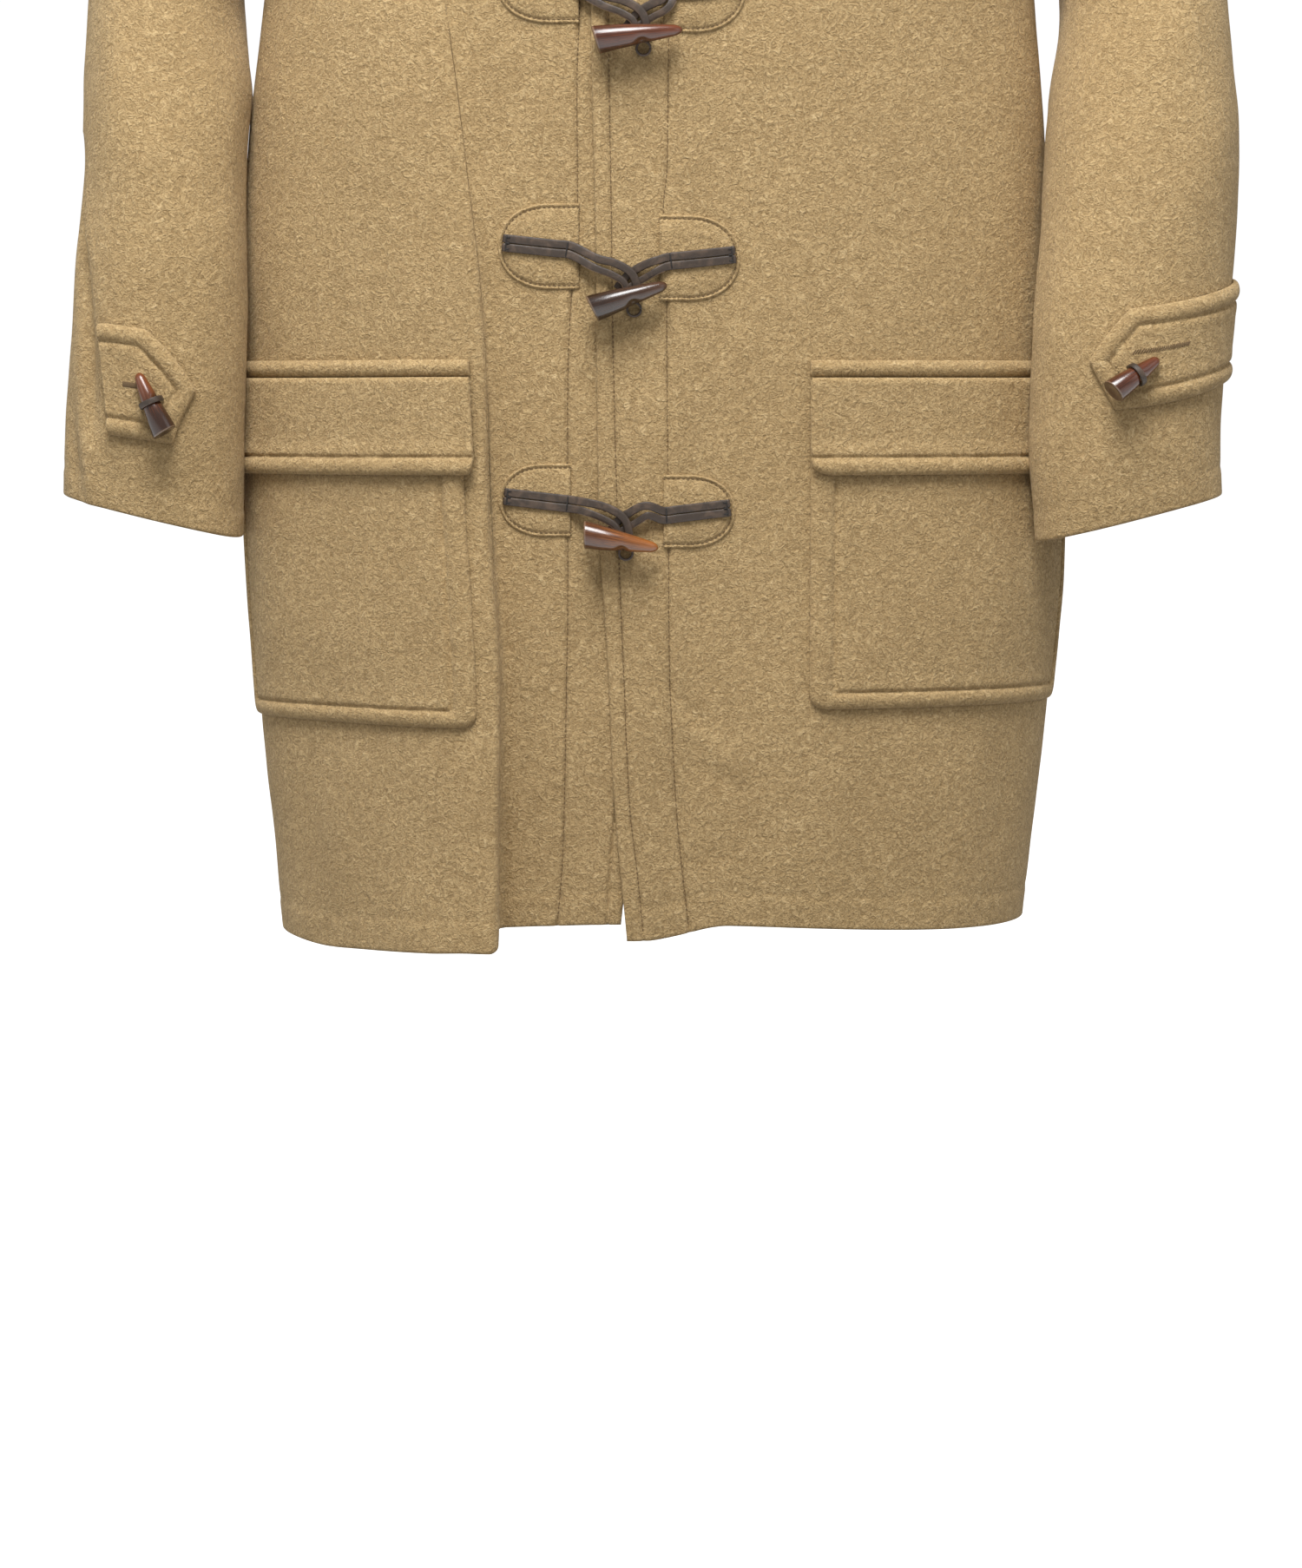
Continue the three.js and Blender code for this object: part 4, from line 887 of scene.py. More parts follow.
def neckLine():
    left = panelTop("frontLeft", np.linspace(0.6, 6, 25))
    right = panelTop("frontRight", np.linspace(2.9, 9, 25))
    plain = plainBody(turnAt(right[:, 0], right[:, 2]), right[:, 2])
    right[:, 1] = plain[:, 1] - body["seamGap"] / 2
    back = panelTop("back", np.linspace(8, 17, 41))
    return dict(left=left, right=right, back=back)


neckEdges = neckLine()


def neckPoint(turn):
    x = body["neckHalf"] * np.sin(turn)
    points = []
    for xi, ti in zip(np.ravel(x), np.ravel(turn)):
        edge = neckEdges["back" if math.cos(ti) < 0 else "left" if xi < 0 else "right"]
        order = np.argsort(edge[:, 0])
        line = edge[order]
        points.append([xi, np.interp(xi, line[:, 0], line[:, 1]), np.interp(xi, line[:, 0], line[:, 2])])
    return np.array(points).reshape(*np.shape(turn), 3)


def centripetal(points, part):  # a centripetal curve through the points, as part runs from 0 to 1
    count = len(points)
    place = np.clip(part, 0, 1) * (count - 1)
    i = min(int(place), count - 2)
    w = place - i
    p1, p2 = points[i], points[i + 1]
    p0 = points[i - 1] if i > 0 else 2 * p1 - p2
    p3 = points[i + 2] if i + 2 < count else 2 * p2 - p1
    d0, d1, d2 = (max(float(np.linalg.norm(b - a)) ** 0.5, 1e-4) for a, b in ((p0, p1), (p1, p2), (p2, p3)))
    m1 = ((p1 - p0) / d0 - (p2 - p0) / (d0 + d1) + (p2 - p1) / d1) * d1
    m2 = ((p2 - p1) / d1 - (p3 - p1) / (d1 + d2) + (p3 - p2) / d2) * d1
    w2, w3 = w * w, w * w * w
    return p1 * (2 * w3 - 3 * w2 + 1) + m1 * (w3 - 2 * w2 + w) + p2 * (3 * w2 - 2 * w3) + m2 * (w3 - w2)


def addHood():
    start = math.radians(hood["start"])
    turns = np.linspace(start, 2 * np.pi - start, hood["columns"] + 1)
    parts = evenUp(placesWithEdges(np.linspace(0, 1, hood["rows"]), 0, 1, 0.003))
    bare = np.zeros((len(parts), len(turns), 3))
    for c, turn in enumerate(turns):
        signed = turn - 2 * np.pi if turn > np.pi else turn
        size = abs(math.degrees(signed))
        low = neckPoint(np.array(signed)) + np.array((0, 0, hood["gap"]))
        outward = np.array((math.sin(signed), -math.cos(signed), 0))
        points = [low]
        for name in ("stand", "fall", "low", "rise", "rim"):
            out = float(along(hoodSections, "turn", name + "Out", size))
            up = float(along(hoodSections, "turn", name + "Up", size))
            points.append(low + outward * out + np.array((0, 0, up)))
        for r, part in enumerate(parts):
            bare[r, c] = centripetal(points, part)
    fromSeam, fromFirst = runAlong(bare, 0), runAlong(bare, 1)
    fromRim, fromLast = fromSeam[-1:] - fromSeam, fromFirst[:, -1:] - fromFirst
    middle = fromFirst - fromFirst[:, -1:] / 2
    relief = edgeDrop(fromRim, edges["round"]) + edgeDrop(fromSeam, edges["seam"])
    relief += edgeDrop(fromFirst, edges["round"]) + edgeDrop(fromLast, edges["round"])
    relief = np.maximum(relief, -body["cloth"] * edges["deepest"])
    relief += sewnRelief(fromRim - 12) + sewnRelief(middle)
    relief += ripple(bare, 90, 0.9) * smooth(fromSeam / 20)
    normal = gridNormals(bare)
    if normal[len(parts) // 2, len(turns) // 2, 1] < 0:
        normal = -normal
    outer = bare + normal * relief[..., None]
    inner = bare - normal * body["cloth"]
    printCut("hood", bare, fromFirst[:, -1], fromSeam[-1])
    return shell("hood", outer, inner)


hoodPiece = addHood()
print("hood made")


# Pockets, flaps and welts, laid on the surface of the fronts

levels = dict(weltTop=-540.5, flapTop=-552, pocketTop=-566, flapBottom=-618)
pocketBottom = dict(left=-788, right=-777)
pocketColumns = dict(left=(13, 12.2, 21), right=(9, 8.95, 17))  # the pocket's and its flap's first, the last
pocketLook = dict(round=3.2, stitch=11.5, corner=9, flapCorner=11, flapStitch=12, swell=1.1, weltRoll=3.2,
    flapStand=2.4, standReach=26, mmEach=25.5, puff=0.9, puffReach=60, stitchCorner=2.0,
    foldRound=2.0, foldDrop=1.6, weltCorner=2.5, weltSink=1.0, weltWaves=0.25)


def boxDistance(a, far, up, corner):  # how far inside a shape with rounded lower corners
    near = np.minimum(a, far)
    inCorner = (near < corner) & (up < corner)
    return np.where(inCorner, corner - np.hypot(corner - near, corner - up), np.minimum(near, up))


def overlayGrid(name, firstColumn, lastColumn, top, bottom, corner, columns, rows):
    mmEach = pocketLook["mmEach"]
    span = (lastColumn - firstColumn) * mmEach
    tall = top - bottom
    near = np.concatenate(((0, 0.3, 0.8, 1.5), np.arange(2.3, 17, 0.9)))
    middle = np.linspace(near[-1], span - near[-1], columns)[1:-1]
    across = np.concatenate((near, middle, span - near[::-1]))
    close = near[near < tall * 0.6]
    down = np.concatenate((np.linspace(0, tall - close[-1], rows)[:-1], tall - close[::-1])) / tall
    a, v = np.meshgrid(evenUp(across), evenUp(down))
    edge = np.minimum(a, span - a)
    lift = np.where(edge < corner, corner - np.sqrt(np.maximum(corner ** 2 - (corner - edge) ** 2, 0)), 0)
    z = mix(top, bottom + lift, v)
    column = firstColumn + a / mmEach
    return dict(name=name, column=column, z=z, a=a, far=span - a, up=z - bottom, top=top - z)


def overlayShell(node, grid, base, thickness, relief):
    panel = panels[grid["name"]]
    z = rowHeight(grid["name"], grid["column"], grid["z"])
    turn = columnTurn(panel, grid["column"], z)
    outer = dressed(grid["name"], turn, z, base + thickness + relief)
    inner = dressed(grid["name"], turn, z, base + np.zeros(z.shape))
    obj = shell(node, outer, inner)
    width = runAlong(outer, 1)[outer.shape[0] // 2, -1]
    print(node, "about", round(float(width)), "wide", round(float(grid["top"].max())), "long")
    return obj


def rimSwell(distance, height):  # the soft roll between an edge and its stitched line
    return height * np.exp(-((distance - 6) / 4.8) ** 2)


def roundOff(distance, radius, thickness):
    t = np.clip(1 - distance / radius, 0, 1)
    return -thickness * (1 - np.sqrt(1 - t * t))


def addPocket(side):
    look = pocketLook
    name = "front" + side.capitalize()
    first, flapFirst, last = pocketColumns[side]
    thickness = body["cloth"]
    grid = overlayGrid(name, first, last, levels["pocketTop"], pocketBottom[side], look["corner"], 58, 70)
    inside = boxDistance(grid["a"], grid["far"], grid["up"], look["corner"])
    relief = roundOff(inside, look["round"], thickness)
    relief += rimSwell(inside, look["swell"])
    toStitch = boxDistance(*(grid[way] - look["stitch"] for way in ("a", "far", "up")), look["stitchCorner"])
    relief += sewnRelief(toStitch, grid["z"] + grid["a"])
    relief += look["puff"] * smooth(toStitch / look["puffReach"])
    pocket = overlayShell("pocket" + side.capitalize(), grid, body["overlayGap"], thickness, relief)
    top, bottom = levels["flapTop"] - body["seamGap"], levels["flapBottom"]
    grid = overlayGrid(name, flapFirst, last, top, bottom, look["flapCorner"], 62, 22)
    inside = boxDistance(grid["a"], grid["far"], grid["up"], look["flapCorner"])
    relief = roundOff(inside, look["round"], thickness)
    relief += rimSwell(grid["up"], look["swell"])
    relief += sewnRelief(grid["up"] - look["flapStitch"], grid["a"])
    relief += roundOff(grid["top"], look["foldRound"], look["foldDrop"])
    stand = look["flapStand"] * smooth(1 - grid["up"] / look["standReach"])  # the flap's foot stands off
    base = 2 * body["overlayGap"] + thickness + stand
    flap = overlayShell("flap" + side.capitalize(), grid, base, thickness, relief)
    top, bottom = levels["weltTop"], levels["flapTop"]
    grid = overlayGrid(name, flapFirst, last, top, bottom, look["weltCorner"], 62, 6)
    v = grid["top"] / (grid["top"] + grid["up"])
    relief = look["weltRoll"] * np.sin(np.pi * np.clip(v, 0, 1)) ** 0.7 - look["weltSink"]
    relief += roundOff(np.minimum(grid["a"], grid["far"]), look["round"], thickness)
    relief += look["weltWaves"] * np.sin(grid["a"] / 5.1) * np.sin(grid["a"] / 13 + 1)
    welt = overlayShell("welt" + side.capitalize(), grid, body["overlayGap"], thickness, relief)
    return pocket, flap, welt


pocketPieces = {side: addPocket(side) for side in ("left", "right")}
print("pockets made")


# The four closures: two tongues, two straps and a toggle each

closures = (  # left and right are the tongues' outer ends
    dict(left=-103, leftZ=-117, right=63, rightZ=-123, length=55, height=57,
         toggleX=-9, toggleZ=-154, toggleLength=58, tilt=5, horn="hornRed"),
    dict(left=-103, leftZ=-290, right=63, rightZ=-296.5, length=55, height=57,
         toggleX=-8, toggleZ=-327.5, toggleLength=58.5, tilt=6.6, horn="hornRed"),
    dict(left=-102.7, leftZ=-465, right=60, rightZ=-472.9, length=54.3, height=57,
         toggleX=-14.3, toggleZ=-499, toggleLength=53, tilt=17.5, horn="hornDark"),
    dict(left=-103, leftZ=-634.6, right=57, rightZ=-642.1, length=48.5, height=49.2,
         toggleX=-19.9, toggleZ=-661.9, toggleLength=51, tilt=-10.3, horn="hornAmber"),
)
tongue = dict(straight=0.34, roundness=2.2, base=0.1, thickness=1.5, round=1.5, stitch=2.6, dent=1.1,
    puff=0.9, rows=45, columns=41, outline=181, under=-0.6, dentWidth=0.8, puffReach=9, threadSink=0.35)
strap = dict(width=11.5, thickness=2.4, start=3.5, flat=45, rise=2.5, fall=5, onTongue=2.2,
    upper=5.6, lower=4.4, edge=1.0, ring=3.7, ringBand=2.6, ringAcross=3, ringDown=8, ringLift=2.2,
    points=74, between=0.12, parted=2.2, arch=1.7, partsWithin=0.16, roll=0.6, seam=0.15,
    bar=5.4, strokeSpread=5.2, strokeBack=0.2, strokeAhead=2.6, threadLift=0.15)
# Where each strap's cord goes, from the toggle's middle: across, up, and above the cloth
leftTail = ((-22, 22.5, 3.4), (-10, 18.5, 4.3), (-1, 12.5, 4.7), (2, 4, 4.7), (2.5, -3, 4.2))
rightTail = ((17, 20.5, 4.6), (7, 15.5, 2.4), (0, 11, 1.9), (-7, 4, 1.9))
toggle = dict(butt=9.2, tip=3, bow=3.5, lift=10.4, sides=30, rings=44, notch=2.6, slant=0.19)
notchLook = dict(at=0.52, wide=0.065, round=0.62)  # where a toggle's notch is, by its length and its turn
stitchPaths = []


def frontPoint(side, x, z, lift):
    name = "front" + side.capitalize()
    x, z, lift = np.broadcast_arrays(np.asarray(x, float), np.asarray(z, float), np.asarray(lift, float))
    return dressed(name, turnAt(x, z), z, lift)


def frontNormal(side, x, z):
    name = "front" + side.capitalize()
    x, z = np.broadcast_arrays(np.asarray(x, float), np.asarray(z, float))
    return normalOf(panels[name]["surface"], turnAt(x, z), z)


def tongueShape(closure, v):  # how far the tongue reaches at each part of its height
    bulge = (1 - np.abs(v) ** tongue["roundness"]) ** (1 / tongue["roundness"])
    return closure["length"] * mix(tongue["straight"], 1, bulge)


def addTongue(number, closure, side):
    hand = handOf[side]
    root = closure[side] - hand * closure["length"]
    half = closure["height"] / 2
    v = np.sin(np.linspace(-1, 1, tongue["rows"]) * np.pi / 2)
    u = 1 - (1 - np.linspace(0, 1, tongue["columns"])) ** 1.4
    uu, vv = np.meshgrid(u, v)
    reach = tongueShape(closure, vv) * uu
    z = closure[side + "Z"] + vv * half
    line = np.sin(np.linspace(-1, 1, tongue["outline"]) * np.pi / 2)
    outline = fan(tongueShape(closure, line), line * half)
    outline = np.concatenate(([[0, -half]], outline, [[0, half]]))
    distance = toLine(fan(reach, vv * half), outline)
    relief = roundOff(distance, tongue["round"], tongue["thickness"])
    inward = distance - tongue["stitch"]
    relief -= tongue["dent"] * np.exp(-(inward / tongue["dentWidth"]) ** 2)
    relief += tongue["puff"] * smooth(inward / tongue["puffReach"])
    lift = tongue["base"] + tongue["thickness"] + relief
    outer = frontPoint(side, root + hand * reach, z, lift)
    inner = frontPoint(side, root + hand * reach, z, tongue["under"])
    stitchAt = fan(tongueShape(closure, line) - tongue["stitch"] * np.sqrt(1 - np.abs(line) ** 3),
                   line * (half - tongue["stitch"]))
    stitchAt = np.concatenate(([[0, -half + tongue["stitch"]]], stitchAt, [[0, half - tongue["stitch"]]]))
    stitchPaths.append(frontPoint(side, root + hand * stitchAt[:, 0], closure[side + "Z"] + stitchAt[:, 1],
                                  tongue["base"] + tongue["thickness"] - tongue["threadSink"]))
    return shell("patch_%s_%d" % (side, number), outer, inner)


def toLine(points, line):  # how far each point is from a line of several stretches
    a, b = line[:-1], line[1:]
    run = b - a
    size = np.maximum((run ** 2).sum(-1), 1e-9)
    best = np.full(points.shape[:-1], 1e9)
    for start, ahead, long in zip(a, run, size):
        t = np.clip(((points - start) @ ahead) / long, 0, 1)
        best = np.minimum(best, np.linalg.norm(points - start - t[..., None] * ahead, axis=-1))
    return best


def smoothPath(points, count):
    parts = np.linspace(0, 1, count)
    return np.array([centripetal(points, part) for part in parts])


def bandMesh(path, out, widths, thickness, sides=14, lift=0.0):  # a strip along a path, facing out
    squareness = 4
    ahead = unit(np.gradient(path, axis=0))
    across = unit(np.cross(ahead, out))
    up = unit(np.cross(across, ahead))
    angle = np.linspace(0, 2 * np.pi, sides + 1)[:-1]
    cosine, sine = power(np.cos(angle), 2 / squareness), power(np.sin(angle), 2 / squareness)
    centre = path + up * (thickness / 2 + lift)
    aside = cosine[None, :, None] * np.reshape(widths, (-1, 1, 1)) / 2
    return centre[:, None] + across[:, None] * aside + up[:, None] * (sine[None, :, None] * thickness / 2)


def closedRings(rings):  # a tube of rings with a domed cap at both ends
    count, sides = rings.shape[:2]
    middles = rings.mean(1)
    points = np.concatenate((rings.reshape(-1, 3), middles[:1], middles[-1:]))
    index = np.arange(count * sides).reshape(count, sides)
    faces = [tuple(f) for f in gridFaces(index, True).tolist()]
    low, high = count * sides, count * sides + 1
    for k in range(sides):
        n = (k + 1) % sides
        faces.append((low, int(index[0, k]), int(index[0, n])))
        faces.append((high, int(index[-1, n]), int(index[-1, k])))
    if signedVolume(points, faces) < 0:
        faces = [tuple(reversed(f)) for f in faces]
    return points, faces


def joined(parts):
    points, faces, base = [], [], 0
    for p, f in parts:
        points.append(p)
        faces += [tuple(i + base for i in face) for face in f]
        base += len(p)
    return np.concatenate(points), faces


def endsRounded(count):  # how wide a strip is along its length, a little narrower at its cut ends
    t = np.linspace(0, 1, count)
    ends = np.minimum(t, 1 - t) * count
    return np.sqrt(np.clip(0.86 + ends / 2.2, 0, 1))


crossbars = []
rawEdges = []


def knotRing(closure):  # the small ring of cord under the toggle
    around = np.linspace(0, 2 * np.pi, 33)
    x, z = closure["toggleX"] + strap["ringAcross"], closure["toggleZ"] - strap["ringDown"]
    middle = frontPoint("right", x, z, strap["ringLift"])
    rim = frontPoint("right", x + strap["ring"] * np.cos(around), z + strap["ring"] * np.sin(around),
                     strap["ringLift"])
    return closedRings(bandMesh(rim, unit(rim - middle), np.full(len(around), strap["ringBand"]), 1.7, 10))


def addStrap(number, closure, side, tail):
    hand = -handOf[side]
    flatParts = np.linspace(0, 1, 6)
    x = closure[side] + hand * (strap["start"] + strap["flat"] * flatParts)
    z = closure[side + "Z"] + strap["rise"] - strap["fall"] * flatParts
    stops = list(frontPoint(side, x, z, strap["onTongue"]))
    ways = list(frontNormal(side, x, z))
    for dx, up, lift in tail:
        px, pz = closure["toggleX"] + dx, closure["toggleZ"] + up
        stops.append(frontPoint("right", px, pz, lift))
        ways.append(frontNormal("right", px, pz))
    count = strap["points"]
    path = smoothPath(np.array(stops), count)
    t = np.linspace(0, 1, count)
    stopParts = np.linspace(0, 1, len(ways))
    out = unit(np.stack([np.interp(t, stopParts, np.array(ways)[:, i]) for i in range(3)], -1))
    ahead = unit(np.gradient(path, axis=0))
    across = unit(np.cross(ahead, out))
    flatEnd = 5 / (len(stops) - 1)
    past = smooth((t - flatEnd) / strap["partsWithin"])  # 1 where the two strands have parted
    half = strap["width"] / 4
    arch = np.sin(np.pi * np.clip((t - flatEnd) / (1 - flatEnd), 0, 1))
    spread = mix(half + strap["between"], strap["parted"], past) + strap["arch"] * arch * past
    roll = strap["roll"] * past * (1 if side == "left" else -1)
    parts = []
    for lane in (-1, 1):
        lanePath = path + across * (lane * spread)[:, None] + out * (lane * roll)[:, None]
        upper = (lane < 0) == (side == "left")
        width = mix(strap["width"] / 2 - strap["seam"], strap["upper"] if upper else strap["lower"], past)
        rings = bandMesh(lanePath, out, endsRounded(count) * width, strap["thickness"])
        parts.append(closedRings(rings))
        if not upper:
            shown = slice(int(flatEnd * count) + 4, -2)
            line = (lanePath + across * (lane * (width / 2 - 0.1))[:, None])[shown]
            widths = np.full(len(line), strap["edge"])
            rawEdges.append(closedRings(bandMesh(line, out[shown], widths, 1.5, 8, lift=0.5)))
    if side == "left":
        parts.append(knotRing(closure))
    points, faces = joined(parts)
    name = "strap_%s_%d" % (side, number)
    obj = meshOf(name, points, faces, "leather")
    for part, strokes in ((0.02, (-0.75, 0, 0.75)), (flatEnd - 0.03, ())):
        i = int(part * (count - 1)) + 1
        centre = path[i] + out[i] * (strap["thickness"] + strap["threadLift"])
        crossbars.append((centre - across[i] * strap["bar"], centre + across[i] * strap["bar"]))
        for s in strokes:
            at = centre + across[i] * s * strap["strokeSpread"]
            crossbars.append((at - ahead[i] * strap["strokeBack"], at + ahead[i] * strap["strokeAhead"]))
    return obj


# A toggle is a tusk with a flat cut butt, a round tip and a notch where its loop goes through.
def toggleMesh(name, butt, tip, bowTo, shape, horn, downSide):
    axis = unit(tip - butt)
    length = float(np.linalg.norm(tip - butt))
    side = unit(np.cross(bowTo, axis))
    up = unit(np.cross(axis, side))
    s = np.concatenate((np.zeros(4), [0.004, 0.012], np.linspace(0.02, 0.9, shape["rings"]),
                        1 - 0.1 * np.cos(np.linspace(0, np.pi / 2, 12))[1:]))
    radius = mix(shape["butt"], shape["tip"], np.clip(s, 0, 1) ** 1.25)
    radius[:6] *= np.array((0.0, 0.45, 0.8, 0.9, 0.965, 1.0))
    end = np.clip((s - 0.9) / 0.1, 0, 1)
    radius = radius * np.sqrt(np.clip(1 - end ** 2, 0, 1))
    centre = butt + axis * (s * length)[:, None] + up * (shape["bow"] * 4 * s * (1 - s))[:, None]
    centre[:3] += axis * np.array((0.5, 0.2, 0.05))[:, None]
    angle = np.linspace(0, 2 * np.pi, shape["sides"] + 1)[:-1]
    ring = (centre[:, None] + side[None, None] * (np.cos(angle)[None, :, None] * radius[:, None, None])
            + up[None, None] * (np.sin(angle)[None, :, None] * radius[:, None, None]))
    downAngle = math.atan2(float(np.dot(downSide, up)), float(np.dot(downSide, side)))
    turned = (angle - downAngle + np.pi) % (2 * np.pi) - np.pi
    slide = shape["slant"] * np.clip(1 - s / 0.3, 0, 1) * radius
    ring -= axis * (slide[:, None] * np.cos(angle)[None])[..., None]
    dent = np.exp(-((s[:, None] - notchLook["at"]) / notchLook["wide"]) ** 2
                  - (turned[None] / notchLook["round"]) ** 2) * shape["notch"]
    ring -= unit(ring - centre[:, None]) * dent[..., None]
    points = ring.reshape(-1, 3)
    index = np.arange(len(points)).reshape(len(s), shape["sides"])
    faces = [tuple(f) for f in gridFaces(index[1:], True).tolist()]
    points = np.concatenate((points, centre[:1] + axis * 0.5))
    cap = len(points) - 1
    sides = shape["sides"]
    faces += [(cap, int(index[1, k]), int(index[1, (k + 1) % sides])) for k in range(sides)]
    last = index[-1]
    tipAt = len(points)
    points = np.concatenate((points, centre[-1:]))
    faces = [f for f in faces if not set(f) & set(last.tolist())]
    before = index[-2]
    faces += [(tipAt, int(before[(k + 1) % sides]), int(before[k])) for k in range(sides)]
    used = sorted({i for f in faces for i in f})
    renumber = {old: new for new, old in enumerate(used)}
    uv = np.concatenate((fan(np.repeat(s, shape["sides"]), np.tile(np.abs(np.sin(angle / 2)), len(s))),
                         [[0.0, 0.5], [1.0, 0.5]]))
    points, uv = points[used], uv[used]
    faces = [tuple(renumber[i] for i in f) for f in faces]
    if signedVolume(points, faces) < 0:
        faces = [tuple(reversed(f)) for f in faces]
    return meshOf(name, points, faces, horn, uv)


def addClosure(number, closure):
    pieces = [addTongue(number, closure, side) for side in ("left", "right")]
    straps = [addStrap(number, closure, "left", leftTail), addStrap(number, closure, "right", rightTail)]
    centre = frontPoint("right", closure["toggleX"], closure["toggleZ"], toggle["lift"])
    tilt = math.radians(closure["tilt"])
    half = np.array((math.cos(tilt), 0, math.sin(tilt))) * closure["toggleLength"] / 2
    horn = toggleMesh("toggle_%d" % number, centre - half, centre + half, np.array((0, -1.0, 0)), toggle,
                      closure["horn"], np.array((0, -0.55, -1.0)))
    return pieces, straps, horn


closurePieces = [addClosure(i + 1, closure) for i, closure in enumerate(closures)]
print("closures made")


# The pointed cuff tabs, each with a toggle in a loop

cuffTabs = dict(
    left=dict(start=60, startLow=71, shoulder=90, shoulderLow=107, point=121, top=-516, bottom=-590, drop=8,
              lean=(-0.4, 0, 0.9), horn="hornTwo", toggleTurn=94.5, toggleZ=-569, onTab=5.6, rooted=0.2,
              length=44, sink=0, columns=61, hole=(0.25, 0.46, 0.52)),
    right=dict(start=-25, startLow=-25, shoulder=97, shoulderLow=101, point=118, top=-482, bottom=-549,
               drop=26, lean=(0.82, 0, 0.57), horn="hornRed", toggleTurn=92.5, toggleZ=-551, onTab=6.6,
               rooted=0.2, length=40, sink=0.16, columns=109, hole=(0.64, 0.84, 0.44)),
)
cuffLook = dict(gap=0.9, thickness=3.2, stitch=12, round=3.2, swell=1.2, holeCount=26, holeHalf=0.024,
    threadLift=0.15, loopClear=0.55, loopWidth=3.8, loopThickness=1.5)
cuffToggle = dict(butt=8.6, tip=3, bow=2, sides=30, rings=36, notch=2.2, slant=0.12)


def sleeveRowAt(side, angle, z):
    low = np.full(np.shape(angle), 5.0)
    high = np.full(np.shape(angle), float(len(sleeveRows[side])))
    for _ in range(26):
        middle = (low + high) / 2
        above = sleeveSurface(side, angle, middle)[..., 2] > z
        low = np.where(above, middle, low)
        high = np.where(above, high, middle)
    return (low + high) / 2


def cuffPoint(side, angle, z, lift):
    angle, z, lift = np.broadcast_arrays(*(np.asarray(value, float) for value in (angle, z, lift)))
    return sleeveDressed(side, angle, sleeveRowAt(side, angle, z), lift)


def cuffNormal(side, angle, z):
    return unit(cuffPoint(side, angle, z, 5.0) - cuffPoint(side, angle, z, 0.0))


def tabPlace(tab, u, v):  # the angle and height on the sleeve at a part of the tab's length and height
    reach = mix(mix(tab["shoulder"], tab["shoulderLow"], v), tab["point"], 1 - np.abs(2 * v - 1) ** 1.08)
    angle = mix(mix(tab["start"], tab["startLow"], v), reach, u)
    drop = tab["drop"] * smooth((angle - tab["start"]) / (tab["point"] - tab["start"]))
    return np.radians(angle), mix(tab["top"], tab["bottom"], v) - drop


def tabPlaces(count, close):
    return evenUp(np.unique(np.round(np.concatenate((np.linspace(0, 1, count), close)), 5)))


holeThreads = []


